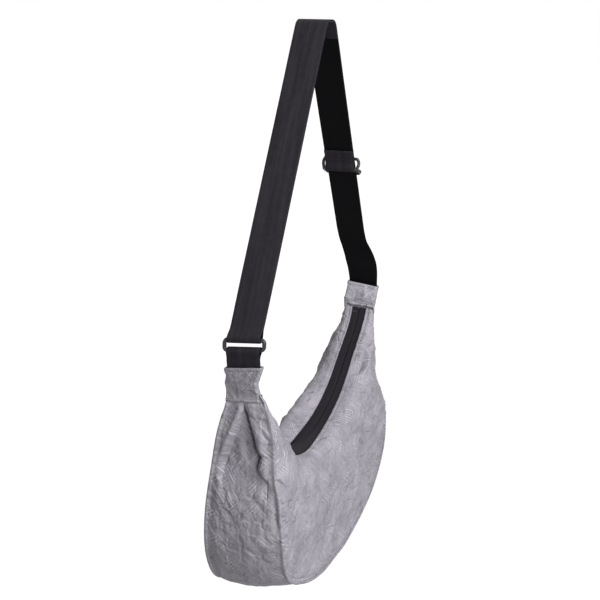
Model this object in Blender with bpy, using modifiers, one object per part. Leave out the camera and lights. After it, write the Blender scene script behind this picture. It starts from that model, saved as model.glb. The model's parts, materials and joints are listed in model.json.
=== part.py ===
"""Crescent crossbody bag hanging from the top of its webbing strap.

Metres, +Z up. The origin is the hang point: the middle of the flat underside of the strap at
its apex. +X runs along the bag to the end with the plain tab, -X to the end with the ring, and
-Y is the front panel. The bag is two side panels on a one-piece gusset, closed by a curved zip.
"""

import math

import bmesh
import bpy
from mathutils import Vector

# Webbing and clearances
WEBBING_WIDTH = 0.038
WEBBING_THICK = 0.0014
GAP = 0.0003

# Strap
STRAP_RISE = 0.350  # hang point down to the top edges of the tabs
APEX_FLAT = 0.010  # flat length of the strap's underside at the hang point
APEX_BEND = 0.011  # inside radius of the strap on either side of that flat
APEX_LEAF = 0.014  # inner layer kept past the apex before the sliding run starts
STRAP_TUCK = 0.030  # webbing sewn inside each tab
KINK_RISE = 0.004  # height above a tab where its webbing changes direction
KINK_RADIUS = 0.004

# Tabs, the folded fabric ends that hold the webbing
TAB_TOP_SPREAD = 0.380  # between the webbing centres at the tabs' top edges
TAB_FOOT_SPREAD = 0.359  # between the webbing centres at the tabs' lower edges
TAB_HEIGHT = 0.037
TAB_THICK = 0.009
TAB_MARGIN = 0.0015  # fabric past each edge of the webbing
TAB_SLOT_ROOM = 0.00036  # beside the webbing, measured level, because the tab leans

# Ring
RING_WIRE = 0.0048
RING_SLIT = 0.0037  # daylight between the strap's fold and the loop
RING_PLAY = 0.0012  # room round a bar inside its fold
RING_CORNER = 0.0041  # the bars run straight over the webbing and turn just past its edges
LOOP_RISE = 0.0150  # lower bar above the tab
FOLD_TAPER = 0.012  # length over which the layers close up again

# Bag body
ZIP_SAG = 0.114  # lowest point of the zip below the tabs' lower edges
BAG_LENGTH = 0.376  # seam to seam
BELLY_DROP = 0.143  # tabs' lower edges down to where the ends begin to turn in
BAG_DROP = 0.264  # tabs' lower edges down to the bottom seam
BAG_ROUNDNESS = 2.9  # exponent of the lower outline: 2 is an ellipse, higher is squarer
SEAM_DEPTHS = ((0.08, 0.062), (0.22, 0.082), (0.42, 0.097), (0.70, 0.098), (1.0, 0.090))
GUSSET_CROWN = 0.005
CROWN_TAPER = 0.1  # share of the gusset beside each tab over which its crown rises
FABRIC = 0.0016  # shell fabric with its seam allowance and interlining
SHOULDER_POWER = 0.8  # lower is a fuller shoulder beside the zip
BINDING_HEIGHT = 0.008
BINDING_THICK = 0.0012
BINDING_START = 0.16  # share of the seam beside each tab that has no room for binding

# Zip
ZIP_OPENING = 0.020  # tape showing between the panels' edges
ZIP_LEDGE = 0.007  # flat margin of each panel over the tape
ZIP_SLIT = 0.0016
TAPE_THICK = 0.0010
TAPE_HIDDEN = 0.005  # tape under the panel's edge
COIL_WIDTH = 0.0032
COIL_THICK = 0.0014
STOP_SIZE = (0.0026, 0.0070, 0.0012)
STOP_INSET = 0.0065  # from the end of the tape

# Zip slider and pull
SLIDER_LENGTH = 0.011
SLIDER_WIDTH = 0.008
SLIDER_PLATE = 0.0014
SLIDER_CHEEK = 0.0010
SLIDER_POST_LENGTH = 0.004
SLIDER_INSET = 0.020  # slider's centre from the end of the tape when the zip is shut
BAIL_SPAN = 0.0064
BAIL_THICK = 0.0012
BAIL_CORNER = 0.0014
BAIL_WIDTH = 0.0024
PULL_LENGTH = 0.026
PULL_WIDTH = 0.0062
PULL_THICK = 0.0014
PULL_EYE = 0.0046  # length of the eye round the bail
PULL_RAIL = 0.0013  # metal beside the eye

# Strap adjuster
ADJUSTER_DOWN = 0.192  # apex down the far run to the centre bar
ADJUSTER_BAR = 0.0040
ADJUSTER_CENTRE_BAR = 0.0039
ADJUSTER_LENGTH = 0.022  # between the end bars' centres
ADJUSTER_SIDE_ROOM = 0.0010
ADJUSTER_LOBE = 0.0016
LOBE_SHARE = 0.46  # of the half length, from the centre bar to the lobes' widest points
SHOULDER_SHARE = 0.84  # of the half length, to where a side turns into its end bar
SEWN_TAIL = 0.026  # sewn end's tail above the centre bar
SEWN_SHUT = 0.011  # height above the centre bar where the tail lies flat again
SEWN_LEAD = 0.030  # sewn end's start above the centre bar

# Mesh fineness
SECTIONS = 40
SHOULDER_STEPS = 8
GUSSET_STEPS = 6
ARC_STEPS = 8
OUTLINE_STEPS = 60
LOOP_STEPS = 4
SLOPE_STEP = 0.004  # share of the seam over which its slope is measured

# Worked out from the sizes above
TAB_TOP_Z = -STRAP_RISE
TAB_FOOT_Z = TAB_TOP_Z - TAB_HEIGHT
TAB_WIDTH = WEBBING_WIDTH + 2 * TAB_MARGIN
LAYER_PITCH = WEBBING_THICK + GAP
ZIP_HALF_CHORD = TAB_FOOT_SPREAD / 2 - TAB_THICK / 2
ZIP_RADIUS = (ZIP_HALF_CHORD**2 + ZIP_SAG**2) / (2 * ZIP_SAG)
ZIP_CENTRE_Z = TAB_FOOT_Z - ZIP_SAG + ZIP_RADIUS
ZIP_END_ANGLE = math.atan2(ZIP_HALF_CHORD, ZIP_CENTRE_Z - TAB_FOOT_Z)
TAPE_TOP_RADIUS = ZIP_RADIUS + FABRIC + GAP
LEDGE_HALF = ZIP_OPENING / 2 + ZIP_LEDGE


def material(name, colour, roughness, metallic=0.0):
    """A plain Principled material."""
    made = bpy.data.materials.new(name)
    made.use_nodes = True
    shader = made.node_tree.nodes["Principled BSDF"]
    shader.inputs["Base Color"].default_value = (*colour, 1.0)
    shader.inputs["Roughness"].default_value = roughness
    shader.inputs["Metallic"].default_value = metallic
    return made


def add_object(name, data, collection, finish):
    """Link new object data under its node name with its own copy of a material."""
    made = bpy.data.objects.new(name, data)
    collection.objects.link(made)
    own = finish.copy()
    own.name = name + "_finish"
    data.materials.append(own)
    return made


def mesh_from_curve(curve_object):
    """Turn a curve object into a welded mesh object in the same place."""
    bpy.context.view_layer.update()
    graph = bpy.context.evaluated_depsgraph_get()
    mesh = bpy.data.meshes.new_from_object(curve_object.evaluated_get(graph))
    welded = bmesh.new()
    welded.from_mesh(mesh)
    bmesh.ops.remove_doubles(welded, verts=welded.verts, dist=0.00002)
    bmesh.ops.recalc_face_normals(welded, faces=welded.faces)
    welded.to_mesh(mesh)
    welded.free()
    name = curve_object.name
    made = bpy.data.objects.new(name + "_solid", mesh)
    curve_object.users_collection[0].objects.link(made)
    made.matrix_world = curve_object.matrix_world
    bpy.data.objects.remove(curve_object)
    made.name = name
    return made


def arc(centre, radius, start, end, steps=ARC_STEPS):
    """Points on an arc in the XZ plane; angles in radians from +X towards +Z."""
    points = []
    for step in range(steps + 1):
        angle = start + (end - start) * step / steps
        points.append((centre[0] + radius * math.cos(angle), centre[1] + radius * math.sin(angle)))
    return points


def ease(start, end, steps=ARC_STEPS):
    """Points of an S-bend between two places that both run along Z."""
    points = []
    for step in range(1, steps):
        t = step / steps
        side = t * t * (3 - 2 * t)
        points.append((start[0] + (end[0] - start[0]) * side, start[1] + (end[1] - start[1]) * t))
    return points


def ease_along(start, end, along, steps=ARC_STEPS):
    """An S-bend whose two ends both run in the direction along."""
    along = Vector(along).normalized()
    across = Vector((-along.y, along.x))
    move = Vector(end) - Vector(start)
    points = []
    for step in range(1, steps):
        t = step / steps
        side = t * t * (3 - 2 * t)
        place = Vector(start) + along * (move.dot(along) * t) + across * (move.dot(across) * side)
        points.append(tuple(place))
    return points


def fillet(before, corner, after, radius, steps=4):
    """A rounded corner between two straight stretches."""
    into = (Vector(corner) - Vector(before)).normalized()
    out = (Vector(after) - Vector(corner)).normalized()
    turn = into.angle(out)
    if turn < 0.001:
        return [tuple(corner)]
    setback = radius * math.tan(turn / 2)
    first = Vector(corner) - into * setback
    last = Vector(corner) + out * setback
    points = []
    for step in range(steps + 1):
        t = step / steps
        blend_in = first.lerp(Vector(corner), t)
        blend_out = Vector(corner).lerp(last, t)
        points.append(tuple(blend_in.lerp(blend_out, t)))
    return points


def ribbon_outline(path, thickness):
    """Closed outline of a strip of even thickness along a centre line."""
    left = []
    right = []
    for index, point in enumerate(path):
        here = Vector(point)
        before = Vector(path[max(index - 1, 0)])
        after = Vector(path[min(index + 1, len(path) - 1)])
        into = (here - before).normalized() if index > 0 else (after - here).normalized()
        out = (after - here).normalized() if index < len(path) - 1 else into
        mean = (into + out).normalized()
        across = Vector((-mean.y, mean.x))
        reach = thickness / 2 / across.dot(Vector((-into.y, into.x)))
        left.append(here + across * reach)
        right.append(here - across * reach)
    return left + right[::-1]


def plate(name, outline, width, collection, finish, offset=0.0):
    """A flat outline in the XZ plane, width thick along Y and centred on offset."""
    data = bpy.data.curves.new(name, "CURVE")
    data.dimensions = "2D"
    data.fill_mode = "BOTH"
    data.extrude = width / 2
    spline = data.splines.new("POLY")
    spline.points.add(len(outline) - 1)
    for point, place in zip(spline.points, outline):
        point.co = (place[0], place[1], 0.0, 1.0)
    spline.use_cyclic_u = True
    made = add_object(name, data, collection, finish)
    made.rotation_euler = (math.pi / 2, 0.0, 0.0)
    made.location = (0.0, offset, 0.0)
    return made


def ribbon(name, path, thickness, width, collection, finish, offset=0.0):
    """A strip of webbing or tape that follows a path in the XZ plane."""
    return plate(name, ribbon_outline(path, thickness), width, collection, finish, offset)


def tube(name, points, diameter, collection, finish, closed):
    """A round bar along points."""
    data = bpy.data.curves.new(name, "CURVE")
    data.dimensions = "3D"
    data.bevel_depth = diameter / 2
    data.bevel_resolution = 3
    data.use_fill_caps = True
    spline = data.splines.new("POLY")
    spline.points.add(len(points) - 1)
    for point, place in zip(spline.points, points):
        point.co = (*place, 1.0)
    spline.use_cyclic_u = closed
    return add_object(name, data, collection, finish)


def block(name, low, high, collection, finish):
    """A box between two corners, in its object's own axes."""
    mesh = bpy.data.meshes.new(name)
    shape = bmesh.new()
    bmesh.ops.create_cube(shape, size=1.0)
    for vert in shape.verts:
        for axis in range(3):
            middle = (low[axis] + high[axis]) / 2
            vert.co[axis] = middle + vert.co[axis] * (high[axis] - low[axis])
    shape.to_mesh(mesh)
    shape.free()
    return add_object(name, mesh, collection, finish)


def join_pieces(target, pieces):
    """Boolean union of extra solids into one piece; the extras become hidden tools."""
    for piece in pieces:
        piece.hide_render = True
        piece.display_type = "WIRE"
        union = target.modifiers.new("join_" + piece.name, "BOOLEAN")
        union.operation = "UNION"
        union.solver = "EXACT"
        union.object = piece


def cut_piece(target, cutter):
    """Boolean difference by a hidden cutter."""
    cutter.hide_render = True
    cutter.display_type = "WIRE"
    difference = target.modifiers.new("cut_" + cutter.name, "BOOLEAN")
    difference.operation = "DIFFERENCE"
    difference.solver = "EXACT"
    difference.object = cutter


def grid_surface(name, rows, collection, finish, outward):
    """An open surface through rows of points, thickened inwards with Solidify."""
    mesh = bpy.data.meshes.new(name)
    shape = bmesh.new()
    verts = [[shape.verts.new(point) for point in row] for row in rows]
    for near, far in zip(verts, verts[1:]):
        for a, b, c, d in zip(near, near[1:], far[1:], far):
            shape.faces.new((a, b, c, d))
    shape.normal_update()
    middle = verts[len(verts) // 2][len(verts[0]) // 2]
    if middle.normal.dot(outward) < 0:
        bmesh.ops.reverse_faces(shape, faces=shape.faces)
    shape.to_mesh(mesh)
    shape.free()
    made = add_object(name, mesh, collection, finish)
    mesh.shade_smooth()
    shell = made.modifiers.new("fabric", "SOLIDIFY")
    shell.thickness = FABRIC
    shell.offset = -1.0
    shell.use_even_offset = True
    return made


def loft(name, rings, collection, finish):
    """A closed solid through equal rings of points, with flat ends."""
    mesh = bpy.data.meshes.new(name)
    shape = bmesh.new()
    verts = [[shape.verts.new(point) for point in ring] for ring in rings]
    count = len(rings[0])
    for near, far in zip(verts, verts[1:]):
        for index in range(count):
            after = (index + 1) % count
            shape.faces.new((near[index], near[after], far[after], far[index]))
    shape.faces.new(verts[0][::-1])
    shape.faces.new(verts[-1])
    bmesh.ops.recalc_face_normals(shape, faces=shape.faces)
    shape.to_mesh(mesh)
    shape.free()
    return add_object(name, mesh, collection, finish)


def zip_point(angle, radius=ZIP_RADIUS):
    """A point on a circle about the zip's centre; angle 0 is straight down."""
    return Vector((radius * math.sin(angle), ZIP_CENTRE_Z - radius * math.cos(angle)))


def outer_outline():
    """Half of the seam's outline in the XZ plane, from a tab's foot to the bottom's middle."""
    half = BAG_LENGTH / 2
    foot_x = TAB_FOOT_SPREAD / 2 + TAB_THICK / 2
    belly_z = TAB_FOOT_Z - BELLY_DROP
    points = []
    for step in range(OUTLINE_STEPS):
        t = step / OUTLINE_STEPS
        x = foot_x + (half - foot_x) * t * t * (3 - 2 * t)
        points.append(Vector((x, TAB_FOOT_Z - BELLY_DROP * t)))
    for step in range(OUTLINE_STEPS + 1):
        angle = math.pi / 2 * step / OUTLINE_STEPS
        x = half * max(math.cos(angle), 0.0) ** (2 / BAG_ROUNDNESS)
        z = belly_z - (BAG_DROP - BELLY_DROP) * math.sin(angle) ** (2 / BAG_ROUNDNESS)
        points.append(Vector((x, z)))
    return points


def point_along(points, share):
    """The point at a share of a polyline's length."""
    lengths = [0.0]
    for a, b in zip(points, points[1:]):
        lengths.append(lengths[-1] + (b - a).length)
    wanted = share * lengths[-1]
    for index in range(len(points) - 1):
        if wanted <= lengths[index + 1] or index == len(points) - 2:
            span = max(lengths[index + 1] - lengths[index], 1e-9)
            return points[index].lerp(points[index + 1], (wanted - lengths[index]) / span)
    return points[-1]


OUTLINE = outer_outline()


def seam_half_depth(share):
    """Half the bag's depth at a share of the way from a tab to the bottom's middle."""
    knots = ((0.0, TAB_WIDTH / 2),) + tuple((at, depth / 2) for at, depth in SEAM_DEPTHS)
    for index in range(len(knots) - 1):
        (start, low), (end, high) = knots[index], knots[index + 1]
        if share <= end:
            t = (share - start) / (end - start)
            slopes = []
            for knot in (index, index + 1):
                if knot in (0, len(knots) - 1):
                    other = 1 if knot == 0 else knot - 1
                    slope = (knots[other][1] - knots[knot][1]) / (knots[other][0] - knots[knot][0])
                    slopes.append(slope if knot == 0 else 0.0)
                else:
                    before, after = knots[knot - 1], knots[knot + 1]
                    slopes.append((after[1] - before[1]) / (after[0] - before[0]))
            width = end - start
            return (
                (2 * t**3 - 3 * t**2 + 1) * low
                + (t**3 - 2 * t**2 + t) * width * slopes[0]
                + (3 * t**2 - 2 * t**3) * high
                + (t**3 - t**2) * width * slopes[1]
            )
    return knots[-1][1]


def section(along):
    """Zip edge, seam point and seam half depth of one cross-section; along runs -1 to 1."""
    share = 1 - abs(along)
    side = 1.0 if along > 0 else -1.0
    inner = zip_point(ZIP_END_ANGLE * along)
    outer = point_along(OUTLINE, share).copy()
    outer.x *= side
    return inner, outer, seam_half_depth(share)


def section_places():
    """Section positions from the ring end to the plain end."""
    return [-1 + 2 * step / SECTIONS for step in range(SECTIONS + 1)]


def panel_profile(half_depth):
    """(Y, share of the way down) from the zip edge over the shoulder to the seam."""
    profile = [(ZIP_OPENING / 2, 0.0), (LEDGE_HALF, 0.0)]
    for step in range(1, SHOULDER_STEPS + 1):
        angle = math.pi / 2 * step / SHOULDER_STEPS
        y = LEDGE_HALF + (half_depth - LEDGE_HALF) * math.sin(angle) ** SHOULDER_POWER
        profile.append((y, 1 - max(math.cos(angle), 0.0)))
    return profile


def side_panel(name, side, collection, finish):
    """Front or back panel: from the zip edge over the shoulder down to the seam."""
    rows = []
    for along in section_places():
        inner, outer, half_depth = section(along)
        row = []
        for y, down in panel_profile(half_depth):
            place = inner.lerp(outer, down)
            row.append((place.x, side * y, place.y))
        rows.append(row)
    return grid_surface(name, rows, collection, finish, Vector((0.0, side, 0.0)))


def seam_slope(along):
    """How fast the half depth changes along the seam."""
    first = section(max(along - SLOPE_STEP, -1.0))
    last = section(min(along + SLOPE_STEP, 1.0))
    run = max((last[1] - first[1]).length, 1e-6)
    return (last[2] - first[2]) / run


def wall_slant(along):
    """How much thicker the gusset measures along a cross-section that meets it at a slant."""
    first = section(max(along - SLOPE_STEP, -1.0))[1]
    last = section(min(along + SLOPE_STEP, 1.0))[1]
    run = (last - first).normalized()
    inner, outer, half_depth = section(along)
    away = (outer - inner).normalized()
    return 1 / abs(away.x * run.y - away.y * run.x)


def gusset_half_width(along):
    """The gusset ends inside the panels' fabric, which is cut at a slant where the bag widens."""
    half_depth = section(along)[2]
    return half_depth - FABRIC * math.hypot(1.0, seam_slope(along)) - GAP


def gusset(collection, finish):
    """One strip from tab to tab round the ends and the bottom."""
    rows = []
    for along in section_places():
        inner, outer, half_depth = section(along)
        away = (outer - inner).normalized()
        crown = GUSSET_CROWN * min(1.0, (1 - abs(along)) / CROWN_TAPER)
        half_width = gusset_half_width(along)
        row = []
        for step in range(GUSSET_STEPS + 1):
            across = -1 + 2 * step / GUSSET_STEPS
            place = outer + away * crown * (1 - across * across)
            row.append((place.x, half_width * across, place.y))
        rows.append(row)
    return grid_surface("bottom_gusset", rows, collection, finish, Vector((0.0, 0.0, -1.0)))


def seam_binding(name, side, collection, finish):
    """Bound seam allowance standing inside the bag along one seam."""
    rings = []
    for along in section_places():
        if abs(along) > 1 - BINDING_START:
            continue
        inner, outer, half_depth = section(along)
        length = (outer - inner).length
        away = (outer - inner).normalized()
        foot_rise = (FABRIC + 2 * GAP) * wall_slant(along)
        angle = math.acos((BINDING_HEIGHT + foot_rise) / length)
        shoulder = LEDGE_HALF + (half_depth - LEDGE_HALF) * math.sin(angle) ** SHOULDER_POWER
        outside = shoulder - FABRIC * math.hypot(1.0, seam_slope(along)) - 2 * GAP
        foot = outer - away * foot_rise
        head = foot - away * BINDING_HEIGHT
        ring = []
        for place, y in (
            (foot, outside),
            (head, outside),
            (head, outside - BINDING_THICK),
            (foot, outside - BINDING_THICK),
        ):
            ring.append((place.x, side * y, place.y))
        rings.append(ring)
    return loft(name, rings, collection, finish)


def zip_arc(radius, inset=0.0, steps=44):
    """Centre line of a strip that follows the zip."""
    end = ZIP_END_ANGLE - inset / radius
    return [tuple(zip_point(-end + 2 * end * step / steps, radius)) for step in range(steps + 1)]


def zip_strips(collection, tape_finish, coil_finish):
    """Two tapes under the panels' edges, each with its half of the coil beneath."""
    tape_width = ZIP_OPENING / 2 + TAPE_HIDDEN - ZIP_SLIT / 2
    tape_path = zip_arc(TAPE_TOP_RADIUS + TAPE_THICK / 2, GAP)
    coil_path = zip_arc(TAPE_TOP_RADIUS + TAPE_THICK + GAP + COIL_THICK / 2, STOP_INSET)
    for label, side in (("front", -1.0), ("back", 1.0)):
        middle = side * (ZIP_SLIT / 2 + tape_width / 2)
        ribbon("zip_tape_" + label, tape_path, TAPE_THICK, tape_width, collection, tape_finish, middle)
        middle = side * (ZIP_SLIT / 2 + COIL_WIDTH / 2)
        ribbon("zip_coil_" + label, coil_path, COIL_THICK, COIL_WIDTH, collection, coil_finish, middle)


def ride_on_zip(piece, angle):
    """Stand a piece on the tape: its +Z towards the zip's centre, +X along the zip."""
    place = zip_point(angle, TAPE_TOP_RADIUS)
    piece.location = (place.x, 0.0, place.y)
    piece.rotation_euler = (0.0, -angle, 0.0)


def zip_stops(collection, finish):
    """A small metal stop across both tapes at each end."""
    long, wide, thick = STOP_SIZE
    inset = STOP_INSET / TAPE_TOP_RADIUS
    for name, angle in (("zip_stop_near", inset - ZIP_END_ANGLE), ("zip_stop_far", ZIP_END_ANGLE - inset)):
        stop = block(name, (-long / 2, -wide / 2, GAP), (long / 2, wide / 2, GAP + thick), collection, finish)
        ride_on_zip(stop, angle)


SLIDER_ANGLE = SLIDER_INSET / TAPE_TOP_RADIUS - ZIP_END_ANGLE
SLIDER_TOP = GAP + SLIDER_PLATE
PULL_SWING = math.hypot(PULL_THICK, PULL_THICK) / 2  # the eye's end bar is square
PULL_AXIS_RISE = SLIDER_TOP + GAP + PULL_SWING
BAIL_TOP = PULL_AXIS_RISE + PULL_SWING + GAP + BAIL_THICK


def zip_slider(collection, tools, finish):
    """Slider with a plate above the tape, a channel round the coil, a post and a bail."""
    half = SLIDER_LENGTH / 2
    under = -(TAPE_THICK + GAP + COIL_THICK + GAP)
    cheek_in = ZIP_SLIT / 2 + COIL_WIDTH + GAP
    cheek_out = cheek_in + SLIDER_CHEEK
    tape_under = -(TAPE_THICK + GAP)
    slider = block("zip_slider", (-half, -SLIDER_WIDTH / 2, GAP), (half, SLIDER_WIDTH / 2, SLIDER_TOP),
                   collection, finish)
    base = block("slider_base", (-half, -cheek_out, under - SLIDER_PLATE), (half, cheek_out, under),
                 tools, finish)
    post_half = ZIP_SLIT / 2 - GAP
    post = block("slider_post", (-SLIDER_POST_LENGTH / 2, -post_half, under - SLIDER_PLATE / 2),
                 (SLIDER_POST_LENGTH / 2, post_half, GAP + SLIDER_PLATE / 2), tools, finish)
    cheeks = []
    for label, side in (("front", -1.0), ("back", 1.0)):
        low_y, high_y = sorted((side * cheek_in, side * cheek_out))
        cheeks.append(block("slider_cheek_" + label, (-half, low_y, under - SLIDER_PLATE / 2),
                            (half, high_y, tape_under), tools, finish))
    foot = SLIDER_TOP - SLIDER_PLATE / 2
    reach = BAIL_SPAN / 2
    rise = BAIL_TOP - BAIL_THICK / 2
    path = [(-reach, foot)]
    path += fillet((-reach, foot), (-reach, rise), (reach, rise), BAIL_CORNER)
    path += fillet((-reach, rise), (reach, rise), (reach, foot), BAIL_CORNER)
    path += [(reach, foot)]
    bail = mesh_from_curve(ribbon("slider_bail", path, BAIL_THICK, BAIL_WIDTH, tools, finish))
    bail.data.transform(bail.matrix_world)
    bail.matrix_world.identity()
    for piece in [slider, base, post, bail] + cheeks:
        ride_on_zip(piece, SLIDER_ANGLE)
    join_pieces(slider, [base, post, bail] + cheeks)
    return slider


def zip_pull(collection, tools, finish):
    """Flat puller whose eye hangs in the slider's bail; its origin is on the eye's end bar."""
    half_bar = PULL_THICK / 2
    rail_half = BAIL_WIDTH / 2 + 2 * GAP + PULL_RAIL
    half = max(PULL_WIDTH / 2, rail_half)
    pull = block("zip_pull", (-half_bar, -half, -half_bar), (PULL_LENGTH - half_bar, half, half_bar),
                 collection, finish)
    eye = block("pull_eye", (half_bar, PULL_RAIL - half, -PULL_THICK),
                (half_bar + PULL_EYE, half - PULL_RAIL, PULL_THICK), tools, finish)
    for piece in (pull, eye):
        place = zip_point(SLIDER_ANGLE, TAPE_TOP_RADIUS - PULL_AXIS_RISE)
        piece.location = (place.x, 0.0, place.y)
        piece.rotation_euler = (0.0, -SLIDER_ANGLE, 0.0)
    cut_piece(pull, eye)
    return pull


RING_BAR_PITCH = RING_SLIT + 2 * (RING_WIRE / 2 + GAP + WEBBING_THICK)
LOWER_BAR = Vector((-TAB_TOP_SPREAD / 2, TAB_TOP_Z + LOOP_RISE))
UPPER_BAR = LOWER_BAR + Vector((0.0, RING_BAR_PITCH))
RING_CENTRE = (LOWER_BAR + UPPER_BAR) / 2
FOLD_RADIUS = RING_WIRE / 2 + RING_PLAY + WEBBING_THICK / 2


def strap_ring(collection, finish):
    """Rounded rectangular ring; its origin is its centre, on its rocking axis."""
    half_high = RING_BAR_PITCH / 2
    corner = min(RING_CORNER, half_high)
    half_wide = WEBBING_WIDTH / 2 - GAP + corner
    points = []
    for side_y, side_z, start in ((1, 1, 0.0), (-1, 1, 0.5), (-1, -1, 1.0), (1, -1, 1.5)):
        for step in range(ARC_STEPS + 1):
            angle = math.pi * (start + 0.5 * step / ARC_STEPS)
            y = side_y * (half_wide - corner) + corner * math.cos(angle)
            z = side_z * (half_high - corner) + corner * math.sin(angle)
            points.append((0.0, y, z))
    ring = tube("strap_ring", points, RING_WIRE, collection, finish, True)
    ring.location = (RING_CENTRE.x, 0.0, RING_CENTRE.y)
    return ring


def tab_line(side):
    """Webbing centre at a tab's top and foot, and the direction up the tab."""
    top = Vector((side * TAB_TOP_SPREAD / 2, TAB_TOP_Z))
    foot = Vector((side * TAB_FOOT_SPREAD / 2, TAB_FOOT_Z))
    return top, foot, (top - foot).normalized()


def run_lean(target, offset):
    """Lean from the vertical of a run that leaves the apex bend and passes through a target."""
    bend = Vector((APEX_FLAT / 2, -APEX_BEND))
    reach = Vector((abs(target.x), target.y)) - bend
    return math.atan2(reach.x, -reach.y) - math.asin((APEX_BEND + offset) / reach.length)


FAR_TOP, FAR_FOOT, FAR_UP = tab_line(1.0)
FAR_KINK = FAR_TOP + FAR_UP * KINK_RISE
INNER_OFFSET = WEBBING_THICK / 2
OUTER_OFFSET = INNER_OFFSET + LAYER_PITCH
MIDDLE_OFFSET = (INNER_OFFSET + OUTER_OFFSET) / 2
FAR_LEAN = run_lean(FAR_KINK, OUTER_OFFSET)
NEAR_LEAN = run_lean(UPPER_BAR, MIDDLE_OFFSET)


def far_run_point(down, offset):
    """A point on the far run, down from the apex bend's end, at an offset from the underside."""
    bend = Vector((APEX_FLAT / 2, -APEX_BEND))
    outward = Vector((math.cos(FAR_LEAN), math.sin(FAR_LEAN)))
    along = Vector((math.sin(FAR_LEAN), -math.cos(FAR_LEAN)))
    return bend + outward * (APEX_BEND + offset) + along * down


def strap_path():
    """Centre line of the long strip: far tab, apex, ring, and back over the apex."""
    near_down = Vector((-math.sin(NEAR_LEAN), -math.cos(NEAR_LEAN)))
    near_out = Vector((-math.cos(NEAR_LEAN), math.sin(NEAR_LEAN)))
    fold_centre = UPPER_BAR - near_down * (RING_PLAY - GAP)
    shut = fold_centre - near_down * FOLD_TAPER
    near_bend = (-APEX_FLAT / 2, -APEX_BEND)
    far_bend = (APEX_FLAT / 2, -APEX_BEND)
    near_end_angle = math.pi - NEAR_LEAN
    tucked = FAR_TOP - FAR_UP * STRAP_TUCK
    path = [tuple(tucked)]
    path += fillet(tucked, FAR_KINK, far_run_point(0.0, OUTER_OFFSET), KINK_RADIUS)
    path += arc(far_bend, APEX_BEND + OUTER_OFFSET, FAR_LEAN, math.pi / 2)
    path += arc(near_bend, APEX_BEND + OUTER_OFFSET, math.pi / 2, near_end_angle)
    outer_shut = shut + near_out * (LAYER_PITCH / 2)
    inner_shut = shut - near_out * (LAYER_PITCH / 2)
    path += [tuple(outer_shut)]
    path += ease_along(outer_shut, fold_centre + near_out * FOLD_RADIUS, near_down)
    start = math.atan2(near_out.y, near_out.x)
    path += arc(fold_centre, FOLD_RADIUS, start, start + math.pi, 2 * ARC_STEPS)
    path += ease_along(fold_centre - near_out * FOLD_RADIUS, inner_shut, -near_down)
    path += [tuple(inner_shut)]
    path += arc(near_bend, APEX_BEND + INNER_OFFSET, near_end_angle, math.pi / 2)
    path += arc(far_bend, APEX_BEND + INNER_OFFSET, math.pi / 2, FAR_LEAN)
    path += [tuple(far_run_point(APEX_LEAF, INNER_OFFSET))]
    return path


def ring_loop_path():
    """Centre line of the short loop that ties the ring's lower bar to the near tab."""
    top, foot, up = tab_line(-1.0)
    across = Vector((-up.y, up.x))
    kink = top + up * KINK_RISE
    half = LAYER_PITCH / 2
    fold_centre = LOWER_BAR - Vector((0.0, RING_PLAY - GAP))
    shut_z = max(fold_centre.y - FOLD_TAPER, kink.y + KINK_RADIUS / 2)
    outer_low = top - up * STRAP_TUCK + across * half
    inner_low = top - up * STRAP_TUCK - across * half
    outer_kink = Vector((kink.x - half, kink.y))
    inner_kink = Vector((kink.x + half, kink.y))
    outer_shut = Vector((kink.x - half, shut_z))
    inner_shut = Vector((kink.x + half, shut_z))
    path = [tuple(outer_low), tuple(outer_kink), tuple(outer_shut)]
    path += ease_along(outer_shut, fold_centre - Vector((FOLD_RADIUS, 0.0)), (0.0, 1.0))
    path += arc(fold_centre, FOLD_RADIUS, math.pi, 0.0, 2 * ARC_STEPS)
    path += ease_along(fold_centre + Vector((FOLD_RADIUS, 0.0)), inner_shut, (0.0, -1.0))
    path += [tuple(inner_shut), tuple(inner_kink), tuple(inner_low)]
    return path


def strap_tab(name, side, layers, collection, tools, finish):
    """Folded fabric tab: a leaning sleeve round the sewn-in webbing."""
    top, foot, up = tab_line(side)
    half = TAB_THICK / 2
    foot_z = foot.y + GAP
    outline = [
        (foot.x - half, foot_z),
        (foot.x + half, foot_z),
        (top.x + half, top.y),
        (top.x - half, top.y),
    ]
    tab = mesh_from_curve(plate(name, outline, TAB_WIDTH, collection, finish))
    slot_half = layers * WEBBING_THICK / 2 + (layers - 1) * GAP / 2 + TAB_SLOT_ROOM
    over = up * TAB_THICK
    low = foot - over
    high = top + over
    slot_outline = [
        (low.x - slot_half, low.y),
        (low.x + slot_half, low.y),
        (high.x + slot_half, high.y),
        (high.x - slot_half, high.y),
    ]
    slot = mesh_from_curve(plate(name + "_slot", slot_outline, WEBBING_WIDTH + 2 * GAP, tools, finish))
    cut_piece(tab, slot)
    return tab


def on_far_run(piece):
    """Stand a piece on the far run: +Z up the run, +X away from the loop's inside."""
    place = far_run_point(ADJUSTER_DOWN, OUTER_OFFSET)
    piece.location = (place.x, 0.0, place.y)
    piece.rotation_euler = (0.0, -FAR_LEAN, 0.0)


def smooth_loop(points):
    """A closed smooth curve through points."""
    made = []
    count = len(points)
    for index in range(count):
        p0, p1, p2, p3 = (Vector(points[(index + k) % count]) for k in (-1, 0, 1, 2))
        for step in range(LOOP_STEPS):
            t = step / LOOP_STEPS
            place = 0.5 * (
                2 * p1
                + (p2 - p0) * t
                + (2 * p0 - 5 * p1 + 4 * p2 - p3) * t * t
                + (3 * p1 - p0 - 3 * p2 + p3) * t * t * t
            )
            made.append(tuple(place))
    return made


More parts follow.
